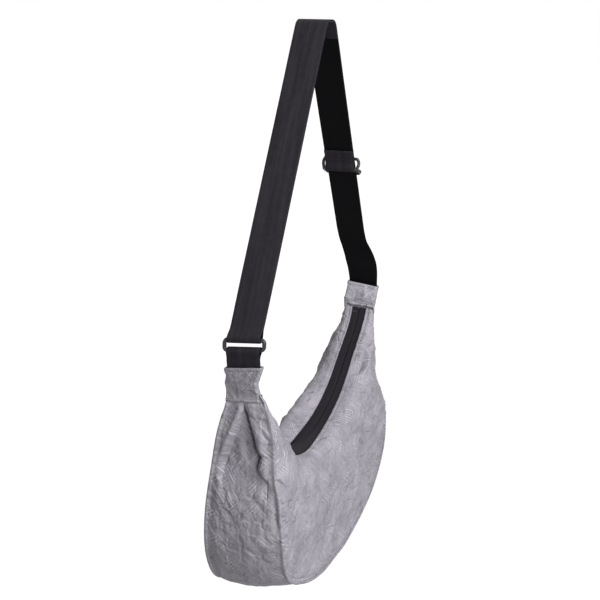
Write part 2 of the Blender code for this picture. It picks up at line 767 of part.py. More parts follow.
BAR_RADIUS = ADJUSTER_BAR / 2
CENTRE_BAR_RADIUS = ADJUSTER_CENTRE_BAR / 2
END_BAR_X = WEBBING_THICK / 2 + GAP + BAR_RADIUS
SEWN_X = -LAYER_PITCH
CENTRE_BAR_X = SEWN_X - WEBBING_THICK / 2 - GAP - CENTRE_BAR_RADIUS


def strap_adjuster(collection, tools, finish):
    """Tri-glide: two end bars over the strap, side lobes, and a centre bar behind it."""
    side_y = WEBBING_WIDTH / 2 + ADJUSTER_SIDE_ROOM + BAR_RADIUS
    end_z = ADJUSTER_LENGTH / 2
    turn_y = WEBBING_WIDTH / 2 - BAR_RADIUS
    right = [
        (END_BAR_X, turn_y, end_z),
        (END_BAR_X, side_y, end_z * SHOULDER_SHARE),
        (0.0, side_y + ADJUSTER_LOBE, end_z * LOBE_SHARE),
        (CENTRE_BAR_X, side_y, 0.0),
        (0.0, side_y + ADJUSTER_LOBE, -end_z * LOBE_SHARE),
        (END_BAR_X, side_y, -end_z * SHOULDER_SHARE),
        (END_BAR_X, turn_y, -end_z),
    ]
    left = [(x, -y, z) for x, y, z in right[::-1]]
    frame = mesh_from_curve(tube("strap_adjuster", smooth_loop(right + left), ADJUSTER_BAR,
                                 collection, finish, True))
    bar_points = [(CENTRE_BAR_X, -side_y, 0.0), (CENTRE_BAR_X, side_y, 0.0)]
    bar = mesh_from_curve(tube("adjuster_centre_bar", bar_points, ADJUSTER_CENTRE_BAR, tools, finish, False))
    for piece in (frame, bar):
        on_far_run(piece)
    join_pieces(frame, [bar])
    return frame


def sewn_end(collection, finish):
    """Strap end looped round the adjuster's centre bar, its tail sewn back on itself."""
    loop_radius = CENTRE_BAR_RADIUS + GAP + WEBBING_THICK / 2
    tail_x = SEWN_X - LAYER_PITCH
    path = [(SEWN_X, SEWN_LEAD), (SEWN_X, loop_radius)]
    path += arc((CENTRE_BAR_X, 0.0), loop_radius, 0.0, -math.pi, 2 * ARC_STEPS)
    path += ease((CENTRE_BAR_X - loop_radius, 0.0), (tail_x, SEWN_SHUT))
    path += [(tail_x, SEWN_SHUT), (tail_x, SEWN_TAIL)]
    end = mesh_from_curve(ribbon("strap_sewn_end", path, WEBBING_THICK, WEBBING_WIDTH, collection, finish))
    end.data.transform(end.matrix_world)
    end.matrix_world.identity()
    on_far_run(end)
    return end


def return_run(collection, finish):
    """Straight inner layer between the apex and the sewn end."""
    start = APEX_LEAF + GAP
    length = ADJUSTER_DOWN - SEWN_LEAD - GAP - start
    half = (WEBBING_THICK / 2, WEBBING_WIDTH / 2, length / 2)
    strip = block("strap_return_run", (-half[0], -half[1], -half[2]), half, collection, finish)
    place = far_run_point(start + length / 2, INNER_OFFSET)
    strip.location = (place.x, 0.0, place.y)
    strip.rotation_euler = (0.0, -FAR_LEAN, 0.0)
    return strip


def clear_scene():
    """Empty the scene so that the script can be run again."""
    for old in list(bpy.data.objects):
        bpy.data.objects.remove(old)


def main():
    """Build every sub-part of the bag."""
    clear_scene()
    parts = bpy.data.collections.new("crescent_crossbody_bag")
    tools = bpy.data.collections.new("cutting_tools")
    for made in (parts, tools):
        bpy.context.scene.collection.children.link(made)

    nylon = material("crinkled_nylon", (0.30, 0.29, 0.31), 0.6)
    webbing = material("black_webbing", (0.018, 0.017, 0.019), 0.45)
    zip_black = material("black_zip_tape", (0.014, 0.013, 0.015), 0.5)
    coil_black = material("black_zip_coil", (0.012, 0.012, 0.012), 0.35)
    binding_black = material("black_binding", (0.02, 0.02, 0.02), 0.7)
    plastic = material("black_acetal", (0.01, 0.01, 0.01), 0.3)
    zinc = material("black_painted_zinc", (0.012, 0.012, 0.012), 0.3)

    side_panel("front_panel", -1.0, parts, nylon)
    side_panel("back_panel", 1.0, parts, nylon)
    gusset(parts, nylon)
    seam_binding("seam_binding_front", -1.0, parts, binding_black)
    seam_binding("seam_binding_back", 1.0, parts, binding_black)
    zip_strips(parts, zip_black, coil_black)
    zip_stops(parts, zinc)
    zip_slider(parts, tools, zinc)
    zip_pull(parts, tools, zinc)

    strap_tab("tab_near", -1.0, 2, parts, tools, nylon)
    strap_tab("tab_far", 1.0, 1, parts, tools, nylon)
    ribbon("strap_webbing", strap_path(), WEBBING_THICK, WEBBING_WIDTH, parts, webbing)
    ribbon("ring_loop_webbing", ring_loop_path(), WEBBING_THICK, WEBBING_WIDTH, parts, webbing)
    return_run(parts, webbing)
    sewn_end(parts, webbing)
    strap_ring(parts, plastic)
    strap_adjuster(parts, tools, plastic)


main()
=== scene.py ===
# %% [markdown]
# # A crescent crossbody bag in crinkled nylon
#
# The bag is three soft pieces of cloth sewn to each other: a front panel, a back panel and one
# long gusset between them. A curved zip closes the top, a folded tab at each end holds black
# webbing, and a ring and a sliding adjuster join the strap. The rigid model of the same bag is
# loaded first. It says where everything goes, and the soft pieces are built around it.

# %% Load the frame
import json
import math
from functools import partial

import bmesh
import bpy
import numpy as np
from mathutils import Matrix, Vector, noise


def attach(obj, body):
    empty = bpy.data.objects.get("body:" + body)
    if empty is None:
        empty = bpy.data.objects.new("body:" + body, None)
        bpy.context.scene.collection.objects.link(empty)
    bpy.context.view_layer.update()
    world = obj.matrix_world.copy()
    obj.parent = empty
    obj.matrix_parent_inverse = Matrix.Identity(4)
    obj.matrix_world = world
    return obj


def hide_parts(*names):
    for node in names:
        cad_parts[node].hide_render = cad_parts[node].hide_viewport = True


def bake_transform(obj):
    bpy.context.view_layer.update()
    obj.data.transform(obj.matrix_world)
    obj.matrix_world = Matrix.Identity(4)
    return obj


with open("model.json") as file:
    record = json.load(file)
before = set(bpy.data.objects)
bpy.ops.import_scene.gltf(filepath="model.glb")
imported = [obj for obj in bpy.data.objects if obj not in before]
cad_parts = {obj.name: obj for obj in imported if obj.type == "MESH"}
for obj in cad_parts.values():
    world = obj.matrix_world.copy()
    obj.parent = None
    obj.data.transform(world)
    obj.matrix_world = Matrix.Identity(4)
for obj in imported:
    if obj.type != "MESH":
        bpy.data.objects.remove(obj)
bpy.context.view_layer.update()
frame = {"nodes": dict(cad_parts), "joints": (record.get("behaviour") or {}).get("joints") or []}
MM = 0.001
FRONT, BACK = -1.0, 1.0  # the sides of the bag, by the sign of y
SIDES = (("front", FRONT), ("back", BACK))

# %% [markdown]
# ## The camera
#
# A camera was fitted to the outline of the bag and its strap. It stands a little over a metre
# away at the ring's end, looks slightly down, and leans by about a degree. Its place is written
# in the bag's own axes, so the picture's framing is a fact of the scene and not of a lens shift.

# %% Camera
CAMERA_PLACE = (-1.13725, -0.4260, -0.0039)
YAW, TILT, ROLL = map(math.radians, (-68.93, 14.85, 1.25))
FOCAL_PIXELS = 1036.6
PICTURE_PIXELS = 600
SENSOR = 36.0


def link_object(name, data):
    """A new object in the scene."""
    made = bpy.data.objects.new(name, data)
    bpy.context.scene.collection.objects.link(made)
    return made


lens = bpy.data.cameras.new("camera")
lens.sensor_width = SENSOR
lens.lens = FOCAL_PIXELS * SENSOR / PICTURE_PIXELS
lens.clip_start, lens.clip_end = 0.05, 30.0
camera = link_object("camera", lens)
level = Vector((math.cos(YAW), math.sin(YAW), 0.0))
ahead = Vector((-math.sin(YAW), math.cos(YAW), 0.0))
forward = ahead * math.cos(TILT) - Vector((0, 0, math.sin(TILT)))
upward = ahead * math.sin(TILT) + Vector((0, 0, math.cos(TILT)))
right = level * math.cos(ROLL) + upward * math.sin(ROLL)
up = upward * math.cos(ROLL) - level * math.sin(ROLL)
turn = Matrix((right, up, -forward)).transposed()
camera.matrix_world = Matrix.Translation(CAMERA_PLACE) @ turn.to_4x4()
bpy.context.scene.camera = camera
bpy.context.scene.view_settings.view_transform = "Standard"
print("lens: %.1f mm" % lens.lens)

# %% [markdown]
# ## Small helpers for materials
#
# Colours are written the way a paint chart gives them, as sRGB hex values, and one function
# turns them to the linear values that a shader needs. One more function adds a node, sets its
# values and links its sockets. A material's own copy of it, called add, already knows the tree.

# %% Colour and node helpers


def linear(hex_colour):
    """An sRGB hex colour as linear RGBA."""
    parts = [int(hex_colour[i : i + 2], 16) / 255 for i in (1, 3, 5)]
    return (*[c / 12.92 if c <= 0.04045 else ((c + 0.055) / 1.055) ** 2.4 for c in parts], 1.0)


def add_node(tree, kind, inputs=(), **settings):
    """Add a node; its sockets, by name or in order, take values, sockets or whole nodes.

    A shader node's kind leaves out its first word, and may end in an operation: "Math.FLOOR".
    """
    kind, _, operation = kind.partition(".")
    node = tree.nodes.new(kind if "Node" in kind else "ShaderNode" + kind)
    for name, value in {**settings, **({"operation": operation} if operation else {})}.items():
        setattr(node, name, value)
    for socket, value in (inputs if isinstance(inputs, dict) else dict(enumerate(inputs))).items():
        if isinstance(value, bpy.types.Node):
            value = value.outputs[0]
        if isinstance(value, bpy.types.NodeSocket):
            tree.links.new(value, node.inputs[socket])
        else:
            node.inputs[socket].default_value = value
    return node


def new_material(name):
    """A material with an empty tree, and the function that adds nodes to it."""
    made = bpy.data.materials.new(name)
    made.use_nodes = True
    made.node_tree.nodes.clear()
    return made, partial(add_node, made.node_tree)


def add_surface(add, inputs):
    """The shader with its inputs, joined to the material's output."""
    add("OutputMaterial", {"Surface": add("BsdfPrincipled", inputs)})


print("linear mid grey: %.3f" % linear("#808080")[0])

# %% [markdown]
# ## Crinkled nylon
#
# The shell is thin nylon taffeta that was washed until it crinkled, with a raised hatch woven in
# the same yarn: short groups of parallel threads that change direction from square to square,
# like basketwork. It is a cool grey with soft sheen. The light that catches the raised threads and
# the crests of the crinkles is painted into the colour as painted highlight, a lighter tone on both.
# The pattern reads the cloth's own UV map, which is in millimetres, so it runs with the grain of
# each piece.

# %% Hatch of raised threads
HATCH_SQUARE = 17.0  # mm, one group of threads
HATCH_THREADS = 5.0  # raised threads in a group


def hatch_layer(add, place, offset, sparse):
    """Groups of short parallel threads; more sparse leaves more groups out."""
    turned = {"Vector": place, "Location": offset, "Rotation": (0, 0, math.radians(45))}
    x, y, _ = add("SeparateXYZ", (add("Mapping", {**turned, "Scale": (1 / HATCH_SQUARE,) * 3}),)).outputs
    column, row, in_x, in_y = (add("Math." + part, (at,)) for part in ("FLOOR", "FRACT") for at in (x, y))
    odd = add("Math.PINGPONG", (add("Math.ADD", (column, row)), 1.0))
    over = add("Mix", {0: odd, 2: in_x, 3: in_y})
    down = add("Mix", {0: odd, 2: in_y, 3: in_x})
    count = add("Math.MULTIPLY", (over, HATCH_THREADS))
    thread = add("Math.FLOOR", (count,))
    inside = add("Math.FRACT", (count,))
    beside, reach = (add("Math.ABSOLUTE", (add("Math.SUBTRACT", (at, 0.5)),)) for at in (inside, down))
    ridge = add("MapRange", {"Value": beside, "From Min": 0.17, "From Max": 0.06})
    chance = add("TexWhiteNoise", {"Vector": add("CombineXYZ", (column, row))})
    luck = add("TexWhiteNoise", {"Vector": add("CombineXYZ", (column, row, thread))})
    drawn = add("Math.LESS_THAN", (reach, add("Math.MULTIPLY_ADD", (luck, -0.22, 0.50))))
    kept = add("MapRange", {"Value": luck, "From Max": 0.7, "To Min": 1.0, "To Max": 0.35})
    strength = add("MapRange", {"Value": chance, "From Min": sparse, "From Max": sparse + 0.45})
    for part in (ridge, kept, strength):
        drawn = add("Math.MULTIPLY", (drawn, part))
    return drawn


def hatch_field(add, place):
    """1 on the raised threads of the basketweave, 0 between them; some groups are faint."""
    drift = add("TexNoise", {"Vector": place, "Scale": 1 / 60, "Detail": 0.0}).outputs["Color"]
    shift = add("VectorMath.MULTIPLY_ADD", (drift, (1.2, 1.2, 0.0), place))
    main = hatch_layer(add, shift, (0.0, 0.0, 0.0), 0.28)
    crossing = hatch_layer(add, shift, (0.5, 0.42, 0.0), 0.52)
    return add("Math.MAXIMUM", (main, crossing))


print("hatch: a raised thread every %.1f mm" % (HATCH_SQUARE / HATCH_THREADS))

# %% Crinkles
FACET_SIZES = (13.0, 5.5)  # mm
CRINKLE_SIZES = (9.0, 3.2)  # mm


def facet_field(add, place, size):
    """Height in mm of flat facets that each lean their own way, as in crumpled cloth."""
    warp = add("TexNoise", {"Vector": place, "Scale": 0.7 / size, "Detail": 2.0}).outputs["Color"]
    bent = add("VectorMath.MULTIPLY_ADD", (warp, (size, size, 0.0), place))
    cell = {"Vector": bent, "Scale": 1 / size, "Smoothness": 0.6}
    cells = add("TexVoronoi", cell, feature="SMOOTH_F1", voronoi_dimensions="2D").outputs
    lean = add("VectorMath.SUBTRACT", (cells["Color"], (0.5, 0.5, 0.5)))
    offset = add("VectorMath.SUBTRACT", (bent, cells["Position"]))
    return add("VectorMath.DOT_PRODUCT", (lean, offset)).outputs["Value"]


def crinkle_field(add, place, size):
    """Sharp little crests like crumpled paper, 1 on a crest."""
    grain = {"Vector": place, "Scale": 1 / size, "Detail": 3.0, "Roughness": 0.55, "Distortion": 0.6}
    beside = add("Math.ABSOLUTE", (add("Math.SUBTRACT", (add("TexNoise", grain), 0.5)),))
    return add("Math.MULTIPLY_ADD", (beside, -4.0, 1.0))


print("crinkles of %.1f and %.1f mm" % CRINKLE_SIZES)

# %% Nylon material


def crinkled_nylon(name, light, dark, thread):
    """Grey crinkled nylon with a raised basketweave hatch; its raised threads and crests carry painted
    highlight.
    """
    made, add = new_material(name)
    place = add("UVMap", uv_map="cloth")
    coarse, fine = (crinkle_field(add, place, size) for size in CRINKLE_SIZES)
    broad, narrow = (facet_field(add, place, size) for size in FACET_SIZES)
    hatch = hatch_field(add, place)
    patches = add("TexNoise", {"Vector": place, "Scale": 1 / 38, "Detail": 3.0})
    spread = add("MapRange", {"Value": patches, "From Min": 0.35, "From Max": 0.65})
    # painted highlight: the crests of the coarse crinkles are mixed towards the lighter colour
    crest = add("MapRange", {"Value": coarse, "From Min": 0.55, "From Max": 1.0, "To Max": 0.6})
    # painted highlight: the raised threads of the hatch are mixed towards the pale thread colour
    threads = add("Math.MULTIPLY", (hatch, 0.95))
    colour = linear(dark)
    for amount, tone in ((spread, light), (crest, light), (threads, thread)):
        colour = add("Mix", {0: amount, 6: colour, 7: linear(tone)}, data_type="RGBA").outputs[2]
    height = add("Math.MULTIPLY", (coarse, 0.42))
    for field, amount in ((fine, 0.13), (hatch, 0.15), (broad, 0.24), (narrow, 0.12)):
        height = add("Math.MULTIPLY_ADD", (field, amount, height))
    finish = {"Roughness": 0.6, "Specular IOR Level": 0.25, "Sheen Weight": 0.04, "Sheen Roughness": 0.4}
    relief = add("Bump", {"Height": height, "Strength": 1.0, "Distance": MM})
    add_surface(add, {"Base Color": colour, "Normal": relief, **finish})
    return made


# A7A3AB is both the cloth's own pale patch tone and the painted highlight on the crests; #D2CFD6 is the
# painted highlight of the raised threads
nylon = crinkled_nylon("crinkled_nylon", "#A7A3AB", "#8A878E", "#D2CFD6")
print("material:", nylon.name)

# %% [markdown]
# ## Woven webbing and zip tape
#
# The strap is tightly woven polyester webbing, black with a satin face. Its warp threads make
# faint bands that run lengthwise, and its weft makes a rib every millimetre or so across. Real
# ribs are finer than a pixel of the picture, so they are drawn about twice their size. The zip's
# tape is the same yarn in a finer, flatter weave. Both read a UV map in millimetres whose first
# value runs across the strip and whose second runs along it.

# %% Woven strip materials


def woven_strip(name, colour, bright, inner, width, rib, band, roughness, relief):
    """A woven strip with ribs across it and soft bands along it; its inner face is painted darker, as painted
    shade.
    """
    made, add = new_material(name)
    place = add("UVMap", uv_map="cloth")
    x, y, _ = add("SeparateXYZ", (place,)).outputs
    warp, weft = (add("Math.SINE", (add("Math.MULTIPLY", (at, 2 * math.pi / rib)),)) for at in (x, y))
    weave = add("Math.MULTIPLY", (weft, warp))
    drawn_out = add("Mapping", {"Vector": place, "Scale": (1 / band, 1 / 90, 1.0)})
    bands = add("TexNoise", {"Vector": drawn_out, "Scale": 1.0, "Detail": 2.0})
    grain = add("TexNoise", {"Vector": place, "Scale": 0.12, "Detail": 4.0})
    shade = -0.65
    for field, amount in ((bands, 1.5), (grain, 0.6), (weave, 0.10)):
        shade = add("Math.MULTIPLY_ADD", (field, amount, shade))
    tone = linear(colour)
    # painted shade: the inner face of the strip gets the darker inner colour
    shaded_inner_face = add("Math.LESS_THAN", (x, width + 0.5))
    for amount, other in ((shade, bright), (shaded_inner_face, inner)):
        tone = add("Mix", {0: amount, 6: tone, 7: linear(other)}, data_type="RGBA").outputs[2]
    height = add("Math.MULTIPLY_ADD", (bands, 0.6, weave))
    bumps = add("Bump", {"Height": height, "Strength": relief, "Distance": 0.3 * MM})
    finish = {"Roughness": roughness, "Specular IOR Level": 0.04}
    add_surface(add, {"Base Color": tone, "Normal": bumps, **finish})
    return made


# 0E0D0F is painted shade on the webbing's inner face
webbing = woven_strip("black_webbing", "#2A272C", "#3C393F", "#0E0D0F", 38.0, 1.6, 5.0, 0.55, 0.35)
zip_tape = woven_strip("black_zip_tape", "#2A272C", "#333036", "#2A272C", -60.0, 0.9, 9.0, 0.6, 0.2)
print("materials:", webbing.name, zip_tape.name)

# %% [markdown]
# ## Moulded plastic, painted zinc and thread
#
# The ring and the adjuster are moulded acetal: black, satin, with a very slight orange-peel
# surface. The zip's slider, pull and stops are die-cast zinc under dull black paint, which is
# smoother and shows broad soft highlights. Thread is twisted polyester, so its surface is fibrous.

# %% Plastic, metal and thread materials


def grained(name, colour, roughness, grain_mm, relief):
    """A hard or fibrous surface with fine grain in its roughness and relief."""
    made, add = new_material(name)
    place = add("TexCoord").outputs["Object"]
    grain = add("TexNoise", {"Vector": place, "Scale": 1 / (grain_mm * MM), "Detail": 3.0})
    rough = add("MapRange", {"Value": grain, "To Min": roughness - 0.04, "To Max": roughness + 0.04})
    bumps = add("Bump", {"Height": grain, "Strength": relief, "Distance": 0.2 * MM})
    add_surface(add, {"Base Color": linear(colour), "Roughness": rough, "Normal": bumps})
    return made


acetal = grained("black_acetal", "#1C1B1E", 0.34, 0.9, 0.10)
painted_zinc = grained("black_painted_zinc", "#1A191C", 0.58, 2.0, 0.05)
coil_nylon = grained("black_coil_nylon", "#141416", 0.38, 0.5, 0.10)
binding_tape = grained("black_binding_tape", "#1A191C", 0.75, 0.6, 0.5)
grey_thread = grained("grey_thread", "#CBC8CF", 0.6, 0.4, 0.5)
black_thread = grained("black_thread", "#1E1C20", 0.5, 0.4, 0.5)
print("materials:", len(bpy.data.materials))

# %% [markdown]
# ## Helpers for meshes
#
# The soft pieces are grids of points: rows that run one way over the cloth and columns that run
# the other. NumPy works out all of a grid's points at once, and one function turns any grid into
# a mesh with a UV map in millimetres. Straps and bars are the same thing rolled into a tube: a
# cross-section carried along a path.

# %% Lines


def unit(vectors):
    """Vectors scaled to length 1."""
    return vectors / np.linalg.norm(vectors, axis=-1, keepdims=True).clip(1e-12)


def closed(points):
    """A line with its first point once more at its end."""
    return np.concatenate([points, points[:1]])


def running_length(points):
    """Distance along a polyline at each of its points."""
    return np.append(0.0, np.cumsum(np.linalg.norm(np.diff(points, axis=0), axis=1)))


def resample(points, wanted):
    """Points of a polyline at given distances along it."""
    run = running_length(points)
    return np.column_stack([np.interp(wanted, run, values) for values in points.T])


print("a 3 by 4 step is %.0f long" % running_length(np.array([(0.0, 0.0), (3.0, 4.0)]))[-1])

# %% Sections and tables


def rounded_rectangle(half_a, half_b, corner, steps=5, between=1):
    """A closed outline with round corners; between adds points along each straight side."""
    points = []
    for side_a, side_b, start in ((1, 1, 0.0), (-1, 1, 0.5), (-1, -1, 1.0), (1, -1, 1.5)):
        for angle in math.pi * (start + np.linspace(0, 0.5, steps + 1)):
            across = side_a * (half_a - corner) + corner * math.cos(angle)
            points.append((across, side_b * (half_b - corner) + corner * math.sin(angle)))
    filled = []
    for here, after in zip(points, points[1:] + points[:1]):
        straight = math.dist(here, after) > 2.5 * corner * math.pi / 2 / steps
        parts = between if straight else 1
        filled += [np.array(here) + np.subtract(after, here) * k / parts for k in range(parts)]
    return np.array(filled)


def smooth_table(knots, at):
    """A smooth curve through (place, value) knots, read at many places."""
    place, value = np.array(knots, dtype=float).T
    slope = np.empty_like(value)
    slope[1:-1] = (value[2:] - value[:-2]) / (place[2:] - place[:-2])
    slope[0] = (value[1] - value[0]) / (place[1] - place[0])
    slope[-1] = 0.0
    at = np.clip(at, place[0], place[-1])
    low = np.clip(np.searchsorted(place, at, side="right") - 1, 0, len(place) - 2)
    width = place[low + 1] - place[low]
    t = (at - place[low]) / width
    bend = (t**3 - 2 * t**2 + t) * slope[low] + (t**3 - t**2) * slope[low + 1]
    return value[low] + (3 * t**2 - 2 * t**3) * (value[low + 1] - value[low]) + bend * width


def step_up(start, end, at):
    """0 before start, 1 after end, smooth between."""
    t = np.clip((at - start) / (end - start), 0.0, 1.0)
    return t * t * (3 - 2 * t)


def bump(centre, width, at):
    """A soft hump of height 1."""
    return np.exp(-(((at - centre) / width) ** 2))


print("a rounded rectangle has %d points" % len(rounded_rectangle(2.0, 1.0, 0.5)))

# %% Meshes
WELD = 0.01 * MM  # points closer than this become one


def add_piece(name, mesh, material, body=None, cad_node=None):
    """Link a finished mesh, give it its material, attach it to what carries it and hide the rigid part it
    stands for.
    """
    piece = link_object(name, mesh)
    mesh.materials.clear()
    mesh.materials.append(material)
    if body:
        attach(piece, body)
    if cad_node:
        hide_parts(cad_node)
    return piece


def weld(mesh):
    """Merge the doubled points of a mesh and turn its faces outwards."""
    shape = bmesh.new()
    shape.from_mesh(mesh)
    bmesh.ops.remove_doubles(shape, verts=shape.verts, dist=WELD)
    bmesh.ops.recalc_face_normals(shape, faces=shape.faces)
    shape.to_mesh(mesh)
    shape.free()


def strip_uv(around, along):
    """A grid's UV map in millimetres from the distances across and along it."""
    return np.stack(np.broadcast_arrays(around[None, :], along[:, None]), axis=-1) * 1000


def grid_mesh(name, points, uv, outward=None, caps=False, joined=False):
    """A smooth mesh through a grid of points, with the UV map "cloth" in millimetres."""
    rows, columns = points.shape[:2]
    number = np.arange(rows * columns).reshape(rows, columns)
    corners = (number[:-1, :-1], number[:-1, 1:], number[1:, 1:], number[1:, :-1])
    faces = np.stack([corner.ravel() for corner in corners], axis=1)
    flat = points.reshape(-1, 3)
    if outward is not None:
        a, b, c, d = flat[faces[len(faces) // 2]]
        if np.dot(np.cross(c - a, d - b), outward) < 0:
            faces = faces[:, [0, 3, 2, 1]]
    ends = [number[0, -2::-1].tolist(), number[-1, :-1].tolist()] if caps else []
    mesh = bpy.data.meshes.new(name)
    mesh.from_pydata(flat.tolist(), [], faces.tolist() + ends)
    owner = np.zeros(len(mesh.loops), dtype=np.int32)
    mesh.loops.foreach_get("vertex_index", owner)
    layer = mesh.uv_layers.new(name="cloth")
    layer.data.foreach_set("uv", uv.reshape(-1, 2)[owner].astype(np.float32).ravel())
    if caps or joined:
        weld(mesh)
    mesh.shade_smooth()
    return mesh


def sweep(name, path, across, section, joined=False):
    """Carry a closed cross-section along a path; across is the direction of its first axis."""
    if joined:
        ahead = unit(np.roll(path, -1, axis=0) - np.roll(path, 1, axis=0))
    else:
        ahead = unit(np.gradient(path, axis=0))
    level = np.broadcast_to(across, path.shape)
    level = unit(level - ahead * np.sum(level * ahead, axis=1, keepdims=True))
    rise = np.cross(ahead, level)
    if joined:
        path, level, rise = map(closed, (path, level, rise))
    ring = closed(section)
    points = path[:, None] + level[:, None] * ring[None, :, :1] + rise[:, None] * ring[None, :, 1:2]
    uv = strip_uv(running_length(ring), running_length(path))
    return grid_mesh(name, points, uv, caps=not joined, joined=joined)


def join_meshes(name, meshes):
    """One mesh out of several."""
    shape = bmesh.new()
    for mesh in meshes:
        shape.from_mesh(mesh)
        bpy.data.meshes.remove(mesh)
    joined = bpy.data.meshes.new(name)
    shape.to_mesh(joined)
    shape.free()
    joined.shade_smooth()
    return joined


print("points weld within %.2f mm" % (WELD / MM))

# %% [markdown]
# ## Creases in the cloth
#
# Washed nylon creases the way paper does: flat little facets that meet in crisp lines. Ridged
# noise has that look, since it folds a smooth noise over at zero. Three sizes are laid over each
# other, and a fourth, much larger and smooth one stands for the slack in the cloth. The noise is
# read in the bag's own space, so a crease that reaches a seam goes on in the next piece.

# %% Creases
SEED_STEP = 17.3  # how far apart two seeds read the noise
SLACK_SIZE, SLACK_HEIGHT = 0.060, 0.0026
WARP_SIZE, WARP = 0.030, 0.008
CREASE_LAYERS = ((40, 1.5, 1, 7), (18, 0.9, 2, 8), (8.5, 0.3, 1, 9))  # size, height in mm, power, seed
CREASE_SINK = 0.0012  # about the creases' mean height, so the cloth stays where it was


def noise_field(points, size, seed):
    """Smooth noise of one size in metres at every point of a grid, about -1 to 1."""
    flat = points.reshape(-1, 3) / size + seed * SEED_STEP
    values = [noise.noise(Vector(place), noise_basis="PERLIN_ORIGINAL") for place in flat.tolist()]
    return np.array(values).reshape(points.shape[:-1])


def ridge_field(points, size, seed):
    """Crisp crests, 1 on a crease and falling to about 0 between creases."""
    return 1.0 - np.minimum(np.abs(noise_field(points, size, seed)) * 3.2, 1.0)


def creases(points, amount=1.0, stretch=(1.0, 1.0, 1.0)):
    """Height of the creased cloth over its smooth shape, in metres."""
    place = points * np.array(stretch)
    bent = place + np.stack([noise_field(place, WARP_SIZE, seed) for seed in (3, 4, 5)], axis=-1) * WARP
    height = noise_field(place, SLACK_SIZE, 1) * SLACK_HEIGHT
    for size, high, power, seed in CREASE_LAYERS:
        height += ridge_field(bent, size * MM, seed) ** power * high * MM
    return amount * (height - CREASE_SINK)


def crease_lines(x, z, lines):
    """Height of sharp creases with a soft crest beside each, in metres; negative in the crease."""
    height = np.zeros(np.broadcast(x, z).shape)
    for x0, z0, x1, z1, depth, width in lines:
        long = math.hypot(x1 - x0, z1 - z0)
        ahead = ((x1 - x0) / long, (z1 - z0) / long)
        along = ((x * 1000 - x0) * ahead[0] + (z * 1000 - z0) * ahead[1]) / long
        aside = ((z * 1000 - z0) * ahead[0] - (x * 1000 - x0) * ahead[1]) / width
        fade = step_up(-0.1, 0.35, along) * (1 - step_up(0.65, 1.1, along))
        height += fade * depth * MM * (0.65 * bump(1.9, 1.3, aside) - np.exp(-np.abs(aside) ** 1.5))
    return height


def band(relief, distance):
    """A ridge along an edge from its height, distance from the edge and half width, in mm."""
    high, place, width = (value * MM for value in relief)
    return high * bump(place, width, distance)


def puckers(points, run, pitch, seed, way=1):
    """Little waves along a row of stitches, from -1 to 1; their spacing wanders."""
    wander = noise_field(points, 0.05, seed) * 0.012
    return np.sin(2 * math.pi * (run + way * wander) / pitch)


def surface_normals(points, outward):
    """Unit normals of a grid, on the side of the direction outward at its middle."""
    normal = unit(np.cross(np.gradient(points, axis=0), np.gradient(points, axis=1)))
    middle = normal[normal.shape[0] // 2, normal.shape[1] // 2]
    return normal if np.dot(middle, outward) > 0 else -normal


print("crease at the origin: %.2f mm" % (creases(np.zeros((1, 3)))[0] / MM))

# %% [markdown]
# ## The bag's shape
#
# From the side the bag is a crescent. Its top edge is an arc of a circle, where the zip runs, and
# its lower edge starts at one tab, runs down the end, turns under the bottom and comes up to the
# other tab. Each cross-section joins a point of the arc to a point of the lower edge, and the
# bag's depth at that place says how wide it is. The same sizes made the rigid model.

# %% Outline
TAB_FOOT_X, TAB_FOOT_Z = 0.1795, -0.387
TAB_TOP = (0.190, -0.350)
TAB_HALF_THICK = 0.0045
TAB_HALF_WIDTH = 0.0205
BAG_HALF_LENGTH = 0.188
BELLY_Z = -0.530
BOTTOM_Z = -0.651
ROUNDNESS = 2.9
ZIP_SAG = 0.114
ZIP_HALF_OPENING = 0.010
ZIP_LEDGE = 0.007

zip_half_chord = TAB_FOOT_X - TAB_HALF_THICK
zip_radius = (zip_half_chord**2 + ZIP_SAG**2) / (2 * ZIP_SAG)
zip_centre_z = TAB_FOOT_Z - ZIP_SAG + zip_radius
zip_end_angle = math.atan2(zip_half_chord, zip_centre_z - TAB_FOOT_Z)


def half_outline(count=500):
    """Half of the lower edge in the XZ plane, from a tab's foot to the bottom's middle."""
    t = np.linspace(0, 1, count, endpoint=False)
    edge = zip_half_chord + 2 * TAB_HALF_THICK
    side_x = edge + (BAG_HALF_LENGTH - edge) * step_up(0, 1, t)
    side_z = TAB_FOOT_Z + (BELLY_Z - TAB_FOOT_Z) * t
    turn = np.linspace(0, 1, count) ** 1.4 * math.pi / 2
    round_x = BAG_HALF_LENGTH * np.cos(turn).clip(0) ** (2 / ROUNDNESS)
    round_z = BELLY_Z + (BOTTOM_Z - BELLY_Z) * np.sin(turn) ** (2 / ROUNDNESS)
    return np.column_stack([np.append(side_x, round_x), np.append(side_z, round_z)])


outline = half_outline()
outline_run = running_length(outline)
seam_length = outline_run[-1]
outline_ahead = unit(np.gradient(outline, axis=0))
outline_normal = np.column_stack([-outline_ahead[:, 1], outline_ahead[:, 0]])
print("seam from a tab to the bottom's middle: %.0f mm" % (seam_length * 1000))

